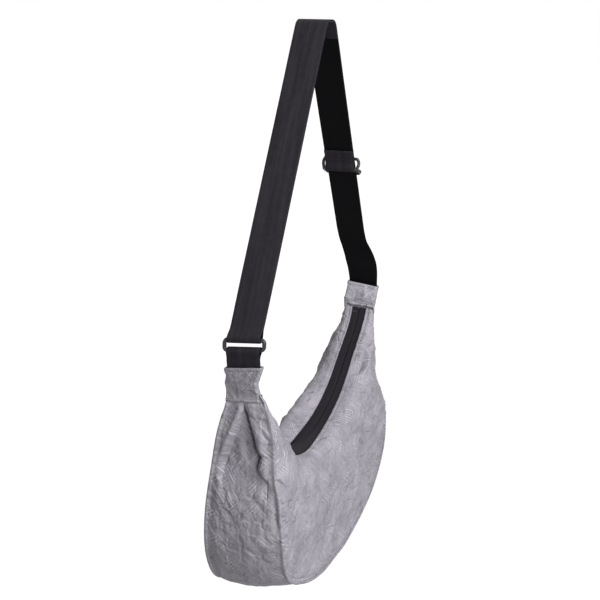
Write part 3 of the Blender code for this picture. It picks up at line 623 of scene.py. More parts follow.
# %% How the real bag hangs and fills out
# Each table goes from 0 at a tab to 1 at the bottom's middle. Depths are from the bag's middle
# plane to the seam, and a sag moves the lower edge outwards, all in mm.
DEPTHS = {
    ("near", FRONT): (
        (0, 25), (0.01, 27.3), (0.022, 29.8), (0.045, 31.5), (0.07, 33), (0.12, 35.5), (0.18, 37), (0.23, 39),
        (0.27, 43), (0.33, 46), (0.41, 49), (0.55, 49.5), (0.70, 49), (1, 45)),
    ("near", BACK): (
        (0, 20.5), (0.03, 22.8), (0.055, 27), (0.075, 30), (0.135, 36), (0.20, 40), (0.31, 46), (0.40, 48.5),
        (0.55, 49.5), (0.70, 49), (1, 45)),
    ("far", FRONT): (
        (0, 21), (0.04, 22.5), (0.08, 24), (0.11, 26.2), (0.14, 30.2), (0.17, 31.6), (0.20, 31), (0.235, 34),
        (0.27, 39.5), (0.31, 45.5), (0.35, 48), (0.43, 50), (0.55, 49), (0.70, 49), (1, 45)),
    ("far", BACK): (
        (0, 21.5), (0.04, 25), (0.08, 28), (0.13, 34), (0.20, 39), (0.28, 44), (0.35, 48), (0.43, 50),
        (0.55, 49), (0.70, 49), (1, 45)),
}
NEAR_SAG = {
    FRONT: ((0, 0), (0.45, 0), (0.52, -1.5), (0.60, -6.5), (0.66, -8.5), (0.72, -6.5), (0.78, -3), (0.84, 1),
            (0.89, 4.5), (0.94, 6.5), (1, 7)),
    BACK: ((0, 0), (0.46, 0), (0.52, 0.5), (0.58, 2.6), (0.63, 3.6), (0.70, 2.5), (0.78, 0.5), (0.84, 3),
           (0.89, 6), (0.94, 7), (1, 7)),
}
FAR_SAG = ((0, 0), (0.30, 1), (0.45, 0), (0.56, -4.5), (0.62, -6), (0.67, -6.5), (0.72, -5.5), (0.77, -2.5),
           (0.82, 0.5), (0.87, 4.5), (0.93, 7.5), (1, 7))
# Along the zip, -1 is the ring's end: sharpness of the shoulder, how far it swells, how far the
# cloth's hem hangs below the zip's arc and how far it stands from the zip's middle, in mm.
SHOULDER = {
    FRONT: ((-1, 2.6), (-0.88, 1.9), (-0.75, 1.05), (-0.6, 0.8), (-0.4, 0.8), (-0.2, 0.7), (0, 0.6),
            (0.6, 0.7), (1, 1)),
    BACK: ((-1, 0.9), (-0.6, 0.6), (-0.3, 0.28), (0, 0.22), (0.35, 0.24), (0.5, 0.38), (0.65, 0.62),
           (0.8, 0.8), (1, 0.9)),
}
SWELL = {
    FRONT: ((-1, 0), (-0.9, 3), (-0.81, 5), (-0.7, 3.3), (-0.55, 1), (-0.42, -1.5), (-0.3, -2), (-0.1, -1.5),
            (0.2, 0), (1, 0)),
    BACK: ((-1, 0), (-0.6, 1), (-0.25, 8), (0, 13), (0.15, 13.5), (0.3, 11), (0.45, 5.5), (0.6, 1), (0.7, 0),
           (1, 0)),
}
DROOP = {
    FRONT: ((-1, 0), (-0.75, 2.5), (-0.5, 8.5), (-0.35, 10.5), (-0.2, 10), (-0.1, 8.5), (0, 5), (0.1, 2),
            (0.2, 0.6), (0.3, 0), (1, 0)),
    BACK: ((-1, 0), (-0.75, 4), (-0.55, 9), (-0.45, 9.5), (-0.35, 9), (-0.25, 8), (-0.13, 5.5), (-0.04, 2.2),
           (0.05, 0.5), (0.12, 0), (1, 0)),
}
OPENING = {
    FRONT: ((-1, 8), (-0.9, 10), (-0.6, 11), (-0.35, 12), (0.1, 11), (0.5, 10.5), (1, 9.5)),
    BACK: ((-1, 5), (-0.9, 7.5), (-0.6, 7.5), (-0.45, 8), (-0.28, 9.5), (0, 11), (0.5, 10.5), (1, 9.5)),
}
ZIP_REACH = 0.045  # how far the far end of the zip runs on under its tab, as a share of half the arc


def cross_sections(along, side):
    """Zip edge, seam point and half depth for along from -1, the ring's end, to 1, on one side."""
    angle = zip_end_angle * along * (1 + ZIP_REACH * step_up(0.5, 1.0, along))
    inner = np.column_stack([zip_radius * np.sin(angle), zip_centre_z - zip_radius * np.cos(angle)])
    inner[:, 1] -= smooth_table(DROOP[side], along) * MM
    share, far = 1 - np.abs(along), along > 0
    run = share * seam_length
    sag = np.where(far, smooth_table(FAR_SAG, share), smooth_table(NEAR_SAG[side], share)) * MM
    outward = np.column_stack([np.interp(run, outline_run, values) for values in outline_normal.T])
    outer = resample(outline, run) + outward * sag[:, None]
    outer[:, 0] *= np.where(far, 1.0, -1.0)
    near_depth, far_depth = (smooth_table(DEPTHS[end, side], share) for end in ("near", "far"))
    return inner, outer, np.where(far, far_depth, near_depth) * MM


probe = cross_sections(np.array([-0.6, 0.0, 0.6]), FRONT)
print("half depth over the near end, middle and far end: %.0f, %.0f, %.0f mm" % tuple(probe[2] * 1000))

# %% [markdown]
# ## A slightly crooked hang
#
# The ring and the near tab don't hang quite square: their front corners sit a few millimetres
# higher than their back ones, and the cloth below the ring is drawn in and pulled to the back. At
# the other end the tab and the foot of the strap lean to the front, and the strap is twisted a
# little. Everything near an end shares the same offsets, so one function gives them to all the
# pieces there, and they fade out above the ring, part of the way up the strap and below the tabs.

# %% Crooked hang of both ends
# Height in mm against lean, shift to the back in mm, width as a share, and twist.
NEAR_LEAN = ((-430, 0), (-400, 0.10), (-372, 0.14), (-350, 0.13), (-325, 0.10), (-300, 0.05), (-262, 0))
NEAR_SHIFT = ((-470, 0), (-433, 0.3), (-414, 1.8), (-404, 3.2), (-394, 5), (-385, 6.4), (-376, 6.6),
              (-370, 5.2), (-364, 3.2), (-357, 1.6), (-350, 1.1), (-325, 0.4), (-300, 0))
NEAR_WIDTH = ((-432, 1), (-414, 0.97), (-394, 0.93), (-376, 0.93), (-362, 0.97), (-350, 1))
FAR_SHIFT = ((-455, 0), (-438, -0.6), (-420, -2.6), (-405, -4.6), (-390, -6), (-350, -7.2), (-322, -9),
             (-303, -7.2), (-290, -4.2), (-280, -1.4), (-268, -0.3), (-258, 0))
FAR_LEAN = ((-400, 0), (-375, 0.07), (-352, 0.14), (-330, 0.12), (-310, 0.05), (-285, 0))
FAR_TWIST = ((-400, 0), (-380, 0.05), (-345, 0.16), (-315, 0.40), (-300, 0.28), (-285, 0.06), (-276, 0))


def hang_askew(points, share=1.0):
    """Points near either end of the bag moved as it hangs; share is 0 where the zip holds them."""
    hung = np.array(points, dtype=float)
    height = hung[..., 2] * 1000
    near = 1 - step_up(-0.150, -0.095, hung[..., 0])
    far = step_up(0.075, 0.125, hung[..., 0])
    lean = smooth_table(NEAR_LEAN, height) * near - smooth_table(FAR_LEAN, height) * far
    shift = smooth_table(NEAR_SHIFT, height) * near * share + smooth_table(FAR_SHIFT, height) * far
    hung[..., 2] -= hung[..., 1] * lean
    hung[..., 0] -= hung[..., 1] * smooth_table(FAR_TWIST, height) * far
    hung[..., 1] *= 1 - (1 - smooth_table(NEAR_WIDTH, height)) * near * share
    hung[..., 1] += shift * MM
    return hung


def hang_mesh_askew(mesh):
    """The same offsets for every corner of a mesh."""
    flat = np.empty(len(mesh.vertices) * 3)
    mesh.vertices.foreach_get("co", flat)
    mesh.vertices.foreach_set("co", hang_askew(flat.reshape(-1, 3)).ravel())
    mesh.update()
    return mesh


ring_corner = hang_askew([[-0.19, -0.022, -0.329]])[0]
print("the ring's front corner sits %.1f mm higher" % ((ring_corner[2] + 0.329) * 1000))

# %% [markdown]
# ## Front and back panels
#
# Each panel is cut from one piece. It starts with a hem beside the zip, goes over a soft shoulder
# and runs down to the seam, where it turns in a little before it meets the gusset. A loft is the
# natural tool, because the pattern maker draws the same lines: sections that run from the zip to
# the seam. On top of the smooth shape come the sewn details: the hem's rounded fold, the groove
# that its topstitching pulls, small puckers along both edges, and the creases.

# %% Panel grid
SEAM_COLUMNS = 451
PANEL_ROWS = 95
ALONG = np.linspace(-1, 1, SEAM_COLUMNS)
SHARE = 1 - np.abs(ALONG)
seam_run = SHARE * seam_length
ROUND_RUN = np.where(ALONG > 0, 2 * seam_length - seam_run, seam_run)  # along the seam from the near tab


def panel_base(side):
    """Points of a panel's smooth shape, with each point's distance from the zip and to the seam."""
    inner, outer, half_depth = cross_sections(ALONG, side)
    power = smooth_table(SHOULDER[side], ALONG)
    swell, opening = (smooth_table(table[side], ALONG) * MM for table in (SWELL, OPENING))
    turn = np.linspace(0, 1, 220) ** 1.6 * math.pi / 2
    down = np.append(0.0, 1 - np.cos(turn).clip(0))
    v = np.linspace(0, 1, PANEL_ROWS)
    shares = v - 0.35 * np.sin(2 * math.pi * v) / (2 * math.pi)  # rows lie closer at both edges
    points = np.empty((PANEL_ROWS, SEAM_COLUMNS, 3))
    from_zip = np.empty((PANEL_ROWS, SEAM_COLUMNS))
    for k in range(SEAM_COLUMNS):
        ledge = opening[k] + ZIP_LEDGE
        y = np.append(opening[k], ledge + (half_depth[k] - ledge) * np.sin(turn) ** power[k])
        drop = outer[k] - inner[k]
        puff = np.sin(math.pi * np.clip((y - 0.011) / (half_depth[k] - 0.008), 0, 1)) * (1 - down) ** 2
        place = inner[k] + drop * down[:, None] - unit(drop) * (swell[k] * puff)[:, None]
        profile = np.column_stack([place[:, 0], side * y, place[:, 1]])
        from_zip[:, k] = shares * running_length(profile)[-1]
        points[:, k] = resample(profile, from_zip[:, k])
    return points, from_zip, from_zip[-1] - from_zip


def panel_cloth_uv(to_seam):
    """Millimetres over the flat cloth: straight on the seam's plane, rolled out over the shoulder."""
    inner, outer, _ = cross_sections(ALONG, FRONT)
    return (outer[None] + unit(inner - outer)[None] * to_seam[..., None]) * 1000


print("panel grid: %d by %d points" % (PANEL_ROWS, SEAM_COLUMNS))

# %% Sewn panels
SEAM_TUCK = 0.0016  # how far the panel turns in at the seam
HEM_FOLD = 0.0010
STITCH_FROM_ZIP = 0.0038
FABRIC_THICK = 0.0011
# Creases seen on the real front panel: ends in x and z, depth and half width, all in mm.
FRONT_CREASES = (
    (172, -424, 122, -457, 7.5, 2.3), (98, -430, 122, -462, 1.2, 2), (86, -428, 108, -462, 1, 2),
    (-72, -527, -33, -577, 1.8, 2.4), (-36, -542, -10, -560, 1.4, 1.8), (-24, -467, -4, -485, 1.8, 2.2),
    (78, -527, 118, -559, 1.6, 2.2), (-42, -492, -18, -521, 1.6, 2.2), (-114, -487, -79, -527, 1.5, 2.2),
    (-150, -512, -163, -548, 1.8, 2), (-142, -520, -150, -560, 1.4, 1.8), (-110, -560, -128, -592, 1.4, 2),
    (-60, -590, -20, -604, 1.2, 1.8), (10, -515, 48, -560, 1.2, 2.2), (40, -590, 92, -596, 1.2, 2),
)
# Ridges and grooves along the edges: height, distance from the edge and half width, in mm.
HEM_RELIEF = ((-0.3, STITCH_FROM_ZIP / MM, 1.1), (0.3, 1.6, 1.3), (0.3, 6.5, 2.5))
ZIP_PUCKERS = (0.7, 7.8, 4.2)
SEAM_PUCKERS = (0.9, 9, 6)
SEAM_GROOVE = (-0.4, 2.4, 1.6)
SEAM_PULL = (-2, 2.4, 1.6)  # where the seam is drawn in under the near end
END_HOLLOW = (-3, 6, 4.5)  # half way down the near end
SEAM_ROLL = (1.2, 11, 6)


def sewn_panel(side):
    """The panel with hem, puckers and creases."""
    points, from_zip, to_seam = panel_base(side)
    uv = panel_cloth_uv(to_seam)
    normal = surface_normals(points, (0, side, 0))
    run = np.broadcast_to(ROUND_RUN, from_zip.shape)
    points[..., 1] -= side * SEAM_TUCK * (1 - step_up(0, 0.014, to_seam))

    height = HEM_FOLD * (np.sqrt(1 - np.clip(1 - from_zip / HEM_FOLD, 0, 1) ** 2) - 1)
    height += sum(band(relief, from_zip) for relief in HEM_RELIEF)
    zip_wave = puckers(points, run, 0.0062, 21) * (0.35 + noise_field(points, 0.03, 22))
    height += zip_wave * band(ZIP_PUCKERS, from_zip)
    seam_wave = puckers(points, run, 0.0105, 21, -1) * noise_field(points, 0.035, 23)
    height += seam_wave * (0.4 + 0.6 * step_up(-0.86, -0.7, ALONG)) * band(SEAM_PUCKERS, to_seam)
    past_end = step_up(-0.84, -0.68, ALONG)
    pulled = bump(-0.36, 0.10, ALONG) * band(SEAM_PULL, to_seam)
    height += past_end * (band(SEAM_GROOVE, to_seam) + pulled + band(SEAM_ROLL, to_seam))
    height += bump(-0.68, 0.11, ALONG) * band(END_HOLLOW, to_seam)
    height += creases(points, 1.2) * step_up(0.004, 0.020, from_zip) * step_up(0.0005, 0.010, to_seam)
    if side == FRONT:
        lines = crease_lines(points[..., 0], points[..., 2], FRONT_CREASES)
        height += lines * step_up(0.003, 0.009, from_zip)
    points += normal * (height * step_up(0.0, 0.0012, to_seam))[..., None]
    return hang_askew(points, step_up(0, 0.5, from_zip / from_zip[-1])), uv


def cloth_piece(name, points, uv, outward, cad_node):
    """A thickened sheet of the shell fabric on the bag's body."""
    piece = add_piece(name, grid_mesh(name, points, uv, outward), nylon, "root", cad_node)
    shell = piece.modifiers.new("fabric", "SOLIDIFY")
    shell.thickness = FABRIC_THICK
    shell.offset = -1.0


panels = {}
for label, side in SIDES:
    panels[side], cloth_uv = sewn_panel(side)
    cloth_piece("bag_" + label, panels[side], cloth_uv, (0, side, 0), label + "_panel")
print("panels: %d points each" % (SEAM_COLUMNS * PANEL_ROWS))

# %% [markdown]
# ## The gusset and its pleats
#
# One long strip goes down the ring's end, under the bottom and up the other end. Under each tab
# its width is gathered in an inverted pleat: two folds start from one point at the tab's foot and
# spread as they run down, and the cloth between them lies deeper. The front fold is crisp, with a
# narrow groove behind it. The folds' lines are short tables of distance below the tab against
# distance from the middle, in millimetres. Rows of the grid crowd round the front fold.

# %% Gusset grid
GUSSET_ROWS = 97
GUSSET_CROWN = 0.005
END_BULGE = 0.0060  # how much further the stuffed ends round out
NEAR_PLEAT = {
    "front": ((8, -2.6), (19, -5.5), (30, -8.4), (40, -12), (53, -15.2), (59, -18.6), (63, -21.3),
              (68, -20.2), (75, -19), (80, -21), (86, -25), (91, -29.5), (102, -32), (125, -33)),
    "back": ((8, -1.2), (16, 2.5), (27, 8.5), (40, 15), (54, 21.5), (68, 27.5), (90, 31), (125, 27)),
    "depth": ((8, 0), (12, 3.2), (24, 6), (45, 8), (66, 9), (82, 6.5), (96, 3.5), (112, 1), (125, 0)),
}
FAR_PLEAT = {
    "front": ((7, 0), (20, -3), (38, -10), (58, -16), (85, -16), (120, -10)),
    "back": ((7, 1), (20, 6), (38, 14), (58, 20), (85, 22), (120, 15)),
    "depth": ((7, 0), (11, 3.2), (24, 7.5), (48, 8.5), (72, 5.5), (95, 1.2), (120, 0)),
}
# Creases on the near end: ends in y and distance below the tab, depth and half width, all in mm.
NEAR_CREASES = (
    (1, 18, -13, 23, 1.3, 1.6), (-11, 24, -31, 27, 1.4, 1.8), (-18, 34, -29, 48, 1.2, 1.8),
    (-20, 60, -30, 44, 1.2, 1.6), (22, 36, 14, 60, 0.6, 2.0), (8, 66, 20, 88, 0.8, 1.6),
    (18, 82, 34, 96, 1.0, 1.8), (26, 104, 12, 130, 1.0, 1.8), (-12, 104, -30, 128, 1.2, 3.0),
    (30, 126, 22, 156, 0.6, 2.4), (0, 120, 22, 148, 0.9, 2.8), (-8, 150, -28, 172, 0.9, 3.0),
)


def pleat_shift(table, below, y):
    """Inward depth and outward lips of a pleat, in metres."""
    past_front = y * 1000 - smooth_table(table["front"], below)
    past_back = smooth_table(table["back"], below) - y * 1000
    depth = smooth_table(table["depth"], below) * MM
    recess = step_up(-1.4, 4.2, past_front) * step_up(-1.2, 4.0, past_back)
    groove = bump(4.9, 1.6, past_front) * step_up(1.0, 4.0, past_back) * (1 - step_up(58, 84, below))
    lip = 0.20 * bump(-5.0, 4.2, past_front) + 0.16 * bump(-2.4, 2.4, past_back)
    return depth * (recess + groove), depth * lip


def fold_rows(fold, strength):
    """Rows from -1 to 1 for every column, closer together round a fold."""
    fine = np.linspace(-1, 1, 601)
    rows = np.empty((GUSSET_ROWS, SEAM_COLUMNS))
    for k in range(SEAM_COLUMNS):
        weight = 1.1 - 0.25 * np.cos(math.pi * fine) + 2.2 * strength[k] * bump(fold[k], 0.16, fine)
        run = np.append(0.0, np.cumsum((weight[1:] + weight[:-1]) / 2))
        rows[:, k] = np.interp(np.linspace(0, run[-1], GUSSET_ROWS), run, fine)
    return rows


def gusset_base():
    """Points of the strip's smooth shape, the share across it and the distance to its edges."""
    inner, outer, front_depth = cross_sections(ALONG, FRONT)
    _, back_outer, back_depth = cross_sections(ALONG, BACK)
    below = seam_run * 1000
    near_fold, far_fold = (smooth_table(pleat["front"], below) for pleat in (NEAR_PLEAT, FAR_PLEAT))
    fold = (np.where(ALONG > 0, far_fold, near_fold) + 2.0) * MM / front_depth
    across = fold_rows(fold, (1 - step_up(85, 150, below)) * step_up(0, 0.08, np.abs(ALONG)))
    half_width = np.where(across < 0, front_depth, back_depth) - SEAM_TUCK
    crown = GUSSET_CROWN * step_up(0.0, 0.14, SHARE)
    crown = crown + END_BULGE * step_up(0.10, 0.30, SHARE) * (1 - step_up(0.45, 0.85, SHARE))
    lower = outer[None] + (back_outer - outer)[None] * step_up(-1, 1, across)[..., None]
    flat = lower + unit(outer - inner)[None] * (crown * (1 - np.abs(across) ** 2.2))[..., None]
    points = np.stack([flat[..., 0], half_width * across, flat[..., 1]], axis=-1)
    return points, across, (1 - np.abs(across)) * half_width


print("gusset grid: %d by %d points" % (GUSSET_ROWS, SEAM_COLUMNS))

# %% Sewn gusset
# Ridges and grooves along the strip's edges: height, distance from the edge and half width, in mm.
EDGE_RIDGE = (2, 1.6, 1.3)
EDGE_VALLEY = (-0.4, 6.8, 3.2)
EDGE_PUCKERS = (0.6, 7, 5)


def sewn_gusset():
    """The strip with its pleats, seam ridges and creases."""
    points, across, edge = gusset_base()
    normal = surface_normals(points, (0, 0, -1))
    run, below = (np.broadcast_to(values, across.shape) for values in (ROUND_RUN, seam_run * 1000))
    uv = np.stack([points[..., 1] * 1000, run * 1000], axis=-1)
    front = across < 0
    low = 1 - 0.7 * (1 - step_up(50, 105, below)) * front
    deep = 1 + 3 * bump(112, 26, below) * front
    height = low * band(EDGE_RIDGE, edge) + deep * band(EDGE_VALLEY, edge)
    wave = puckers(points, run, 0.0095, 31) * noise_field(points, 0.035, 32)
    height += wave * band(EDGE_PUCKERS, edge)
    free = step_up(0.001, 0.007, edge) * step_up(8, 24, below)
    height += creases(points, 0.6, (1.0, 1.25, 0.8)) * free
    height += crease_lines(points[..., 1], below * MM, NEAR_CREASES) * free * (ALONG < 0)
    height -= 0.0026 * (1 - step_up(8.4, 11.5, below)) * (ALONG < 0)
    for table, here in ((NEAR_PLEAT, ALONG <= 0), (FAR_PLEAT, ALONG > 0)):
        recess, lip = pleat_shift(table, below, points[..., 1])
        height += (lip * step_up(0.003, 0.016, edge) - recess * step_up(0.002, 0.008, edge)) * here
    held = step_up(0.0, 0.0012, edge)
    points += normal * (height * held)[..., None]
    points[..., 1] += np.sign(across) * 0.0010 * bump(0.0018, 0.0013, edge) * held
    return hang_askew(points), uv


cloth_piece("bag_gusset", *sewn_gusset(), (0, 0, -1), "bottom_gusset")
print("gusset: %d points" % (SEAM_COLUMNS * GUSSET_ROWS))

# %% [markdown]
# ## Tabs
#
# Each end of the bag has a folded sleeve of the same cloth, which holds the webbing. It is a
# rounded sleeve and not a box: the cloth swells a little between its two rows of stitching, its
# top hem is rolled inwards, and the opening closes round the webbing. Rings of points are lofted
# from the foot, over the hem and down into the slot.

# %% Rings of the tabs
# Height over the tab's foot, extra half thickness and extra half width, in mm.
NEAR_TAB_RINGS = (
    (-8.8, -2.2, -0.2), (-8.6, -0.6, 1), (-8, 0.6, 1.4), (-7, 0.8, 1.4), (-5.8, 0.35, 1.2),
    (-4.6, 0.8, 1.1), (-2, 0.9, 0.7), (1, 0.9, 0.2), (5, 0.9, -0.2), (10, 1, -0.3), (15, 1, -0.2),
    (20, 0.9, 0.1), (24, 0.7, 0.4), (26.6, 0.5, 0.9), (28, -0.05, 0.9), (29.3, 0.5, 1.2),
    (31.2, 0.65, 1.5), (32.6, 0.3, 1.4), (33.2, -0.6, 0.9), (33.1, -1.7, 0),
)
FAR_TAB_RINGS = (
    (0, -2.2, -0.9), (0.3, -0.7, -0.2), (1, 0.3, 0.3), (2.2, 0.45, 0.3), (3.4, 0, 0), (4.6, 0.4, 0),
    (8, 0.8, 0.1), (14, 1, 0), (20, 0.9, -0.2), (26, 0.8, -0.1), (31, 0.6, 0), (34.6, 0.5, 0.1),
    (36, -0.05, 0.1), (37.3, 0.5, 0.3), (39, 0.65, 0.5), (40.2, 0.3, 0.4), (40.8, -0.6, 0),
    (40.7, -1.7, -0.4),
)
FAR_FOOT_SLANT = 12.0  # mm that the foot rises from its middle to the inner side, and falls outwards
WEBBING_HALF_WIDTH = 0.019
TAB_POINTS = 129
SLOT_STEPS = ((0.55, 0.0012), (0.85, 0.0034), (1.0, 0.0074))  # share of the way in, and how far down


def denser(table, between=3):
    """Rows of a table with more set between each pair."""
    table = np.array(table, dtype=float)
    at = np.linspace(0, len(table) - 1, between * (len(table) - 1) + 1)
    return np.column_stack([np.interp(at, np.arange(len(table)), values) for values in table.T])


def even_ring(half_a, half_b, corner):
    """A rounded rectangle as a closed ring of evenly spaced points."""
    loop = closed(rounded_rectangle(half_a, half_b, corner, 6))
    return resample(loop, np.linspace(0, 1, TAB_POINTS) * running_length(loop)[-1])


def tab_relief(points, table, seed):
    """Creases between a tab's rows of stitching and a ripple below its top, in metres."""
    height = (points[..., 2] - TAB_FOOT_Z) * 1000
    soft = step_up(table[4][0], table[6][0], height) * (1 - step_up(table[-8][0], table[-6][0], height))
    top = step_up(table[-1][0] - 1, table[-1][0], height)
    ripple = noise_field(points + seed, 0.006, 41) * 0.00025
    return creases(points + seed, 0.9) * soft + ripple * (1 - top)


print("tab rings: %d near, %d far" % (len(denser(NEAR_TAB_RINGS)), len(denser(FAR_TAB_RINGS))))

# %% Tabs


def fabric_tab(label, end, table, slant, slot_half, seed):
    """A folded sleeve of cloth that leans outwards and closes round the webbing."""
    foot = np.array([end * TAB_FOOT_X, 0.0, TAB_FOOT_Z])
    rise = np.array([end * TAB_TOP[0], 0.0, TAB_TOP[1]]) - foot
    lean = rise / rise[2]
    turn = np.array([[end, 0.0, 0.0], [0.0, 1.0, 0.0]])  # the directions of a flat ring's axes
    rings, lengths = [], []
    for height, thick, wide in denser(table):
        half_a = TAB_HALF_THICK + thick * MM
        ring = even_ring(half_a, TAB_HALF_WIDTH + wide * MM, min(0.0024, half_a * 0.8))
        level = (height - ring[:, :1] / half_a * slant * (1 - step_up(0, 24, height))) * MM
        rings.append(foot + np.where(level > 0, lean, (0.0, 0.0, 1.0)) * level + ring @ turn)
        lengths.append(running_length(ring))
    slot = even_ring(slot_half, WEBBING_HALF_WIDTH + 0.0005, slot_half * 0.8)
    slot = foot + lean * table[-1][0] * MM + slot @ turn
    rim = rings[-1]
    for share, sink in SLOT_STEPS:
        rings.append(rim + (slot - rim) * share - lean * sink)
        lengths.append(lengths[-1])
    points, around = np.array(rings), np.array(lengths)
    up = np.broadcast_to(running_length(points[:, 0])[:, None], around.shape)
    uv = np.stack([around * end * 1000 + 300, up * 1000], axis=-1)
    normal = unit(np.cross(np.gradient(points, axis=1), np.gradient(points, axis=0)))
    middle = points[:, :-1].mean(axis=1, keepdims=True)
    if np.mean(np.sum(normal[:50] * (points - middle)[:50], axis=-1)) < 0:
        normal = -normal
    relief = tab_relief(points, table, seed)
    relief[:, -1], normal[:, -1] = relief[:, 0], normal[:, 0]
    points = points + normal * relief[..., None]
    mesh = grid_mesh("tab_sleeve_" + label, hang_askew(points), uv, caps=True)
    add_piece("tab_sleeve_" + label, mesh, nylon, "root", "tab_" + label)
    return points


near_tab = fabric_tab("near", -1.0, NEAR_TAB_RINGS, 0.0, 0.0019, 0.0)
far_tab = fabric_tab("far", 1.0, FAR_TAB_RINGS, FAR_FOOT_SLANT, 0.0011, 0.37)
print("tabs: %d and %d points" % (near_tab[..., 0].size, far_tab[..., 0].size))

# %% [markdown]
# ## Webbing
#
# The strap is one long strip. It leaves the far tab, goes over the top, folds round the ring's
# upper bar and comes back on its own inner side to the adjuster, where its end is sewn round the
# centre bar. The rigid model's strips already follow that path, so their centre lines are
# recovered from their side faces: the outline's four right-angled corners are the two ends, and
# the two chains between them are the strip's two faces. A rounded section is carried along the
# middle of the chains.

# %% Centre lines of the strips


def side_outline(node):
    """XZ points round the side face of a CAD node."""
    shape = bmesh.new()
    shape.from_mesh(frame["nodes"][node].data)
    bmesh.ops.remove_doubles(shape, verts=shape.verts, dist=0.000001)
    side = max(vert.co.y for vert in shape.verts)
    cap = {face for face in shape.faces if all(abs(vert.co.y - side) < 0.00001 for vert in face.verts)}
    neighbours = {}
    for edge in shape.edges:
        if sum(face in cap for face in edge.link_faces) == 1:
            for here, there in (edge.verts, tuple(edge.verts)[::-1]):
                neighbours.setdefault(here, []).append(there)
    loop = [next(iter(neighbours))]
    after = neighbours[loop[0]][0]
    while after is not loop[0]:
        loop.append(after)
        after = next(vert for vert in neighbours[loop[-1]] if vert is not loop[-2])
    ring = np.array([(vert.co.x, vert.co.z) for vert in loop])
    shape.free()
    return ring


def strip_centre_line(node):
    """Centre line of a strip, as XZ points, from the outline of its side face."""
    ring = side_outline(node)
    ahead = unit(np.roll(ring, -1, axis=0) - ring)
    corners = np.flatnonzero(np.abs(np.cross(np.roll(ahead, 1, axis=0), ahead)) > 0.85)
    ends = [k for k in corners if (k - 1) % len(ring) in corners]
    first = min(ends, key=lambda k: np.linalg.norm(ring[k] - ring[k - 1]))
    ring = np.roll(ring, -first, axis=0)
    half = len(ring) // 2
    return (ring[:half] + ring[half:][::-1]) / 2


strap_line = strip_centre_line("strap_webbing")
loop_line = strip_centre_line("ring_loop_webbing")
run_line = strip_centre_line("strap_return_run")
sewn_line = strip_centre_line("strap_sewn_end")
if strap_line[0, 1] > strap_line[-1, 1]:
    strap_line = strap_line[::-1]
if run_line[0, 1] < run_line[-1, 1]:
    run_line = run_line[::-1]
if np.linalg.norm(sewn_line[-1] - run_line[-1]) < np.linalg.norm(sewn_line[0] - run_line[-1]):
    sewn_line = sewn_line[::-1]
print("strap: %.0f mm in one layer" % (running_length(strap_line)[-1] * 1000))

# %% Strips of webbing
WEBBING_HALF_THICK = 0.0007
ACROSS = np.array([0.0, 1.0, 0.0])


def smooth_path(points, spacing=0.001, passes=2):
    """Evenly spaced points along a line with its small corners rounded."""
    length = running_length(points)[-1]
    made = resample(points, np.linspace(0, length, int(length / spacing) + 1))
    for _ in range(passes):
        made[1:-1] = made[1:-1] * 0.5 + (made[:-2] + made[2:]) * 0.25
    return made


def webbing_strip(name, line, seed, body=None, cad_node=None):
    """A woven strip with soft edges that follows an XZ centre line."""
    path = smooth_path(line)
    ahead = unit(np.gradient(path, axis=0))
    sway = [noise.noise(Vector((s / 0.035, seed * 3.7, 0.5))) * 0.00012 for s in running_length(path)]
    path = path + np.column_stack([-ahead[:, 1], ahead[:, 0]]) * np.array(sway)[:, None]
    points = np.column_stack([path[:, 0], np.zeros(len(path)), path[:, 1]])
    section = rounded_rectangle(WEBBING_HALF_WIDTH, WEBBING_HALF_THICK, WEBBING_HALF_THICK * 0.95, 4, 9)
    return add_piece(name, hang_mesh_askew(sweep(name, points, ACROSS, section)), webbing, body, cad_node)


webbing_strip("strap_long_layer", strap_line, 1, "root", "strap_webbing")
webbing_strip("ring_loop", loop_line, 2, "root", "ring_loop_webbing")
inner_run = webbing_strip("strap_inner_run", np.concatenate([run_line, sewn_line])[::-1], 3)
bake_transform(inner_run)
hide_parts("strap_return_run", "strap_sewn_end")
print("inner run: %d points" % len(inner_run.data.vertices))

# %% [markdown]
# ## Ring and adjuster
#
# Both are injection-moulded rings of round bar, so a section carried along a closed path makes
# them. The ring is a narrow rounded rectangle that keeps the strap's fold and the loop's fold a
# few millimetres apart. The adjuster is the usual slide with two end bars, a centre bar behind
# the strap and side lobes that swell outwards.

# %% Ring
joints = {joint["name"]: joint for joint in frame["joints"]}
RING_HALF_PITCH = 0.00595
RING_CORNER = 0.0041
RING_HALF_WIDTH = 0.0228
RING_BAR = 0.00225
AROUND = np.linspace(0, 2 * math.pi, 24, endpoint=False)
ROUND = np.column_stack([np.cos(AROUND), np.sin(AROUND)])


def closed_path(corners, spacing):
    """Evenly spaced points round a closed line."""
    loop = closed(corners)
    length = running_length(loop)[-1]
    return resample(loop, np.linspace(0, length, int(length / spacing), endpoint=False))


ring_flat = rounded_rectangle(RING_HALF_WIDTH, RING_HALF_PITCH, RING_CORNER, 24)
ring_path = closed_path(np.insert(ring_flat, 0, 0.0, axis=1), 0.0008) + joints["ring_rock"]["pos_m"]
ring_mesh = sweep("strap_ring_moulding", ring_path, (1.0, 0.0, 0.0), ROUND * RING_BAR, joined=True)
add_piece("strap_ring_moulding", hang_mesh_askew(ring_mesh), acetal, "ring", "strap_ring")
print("ring: %.0f x %.0f mm" % ((RING_HALF_WIDTH + RING_BAR) * 2000, (RING_HALF_PITCH + RING_BAR) * 2000))

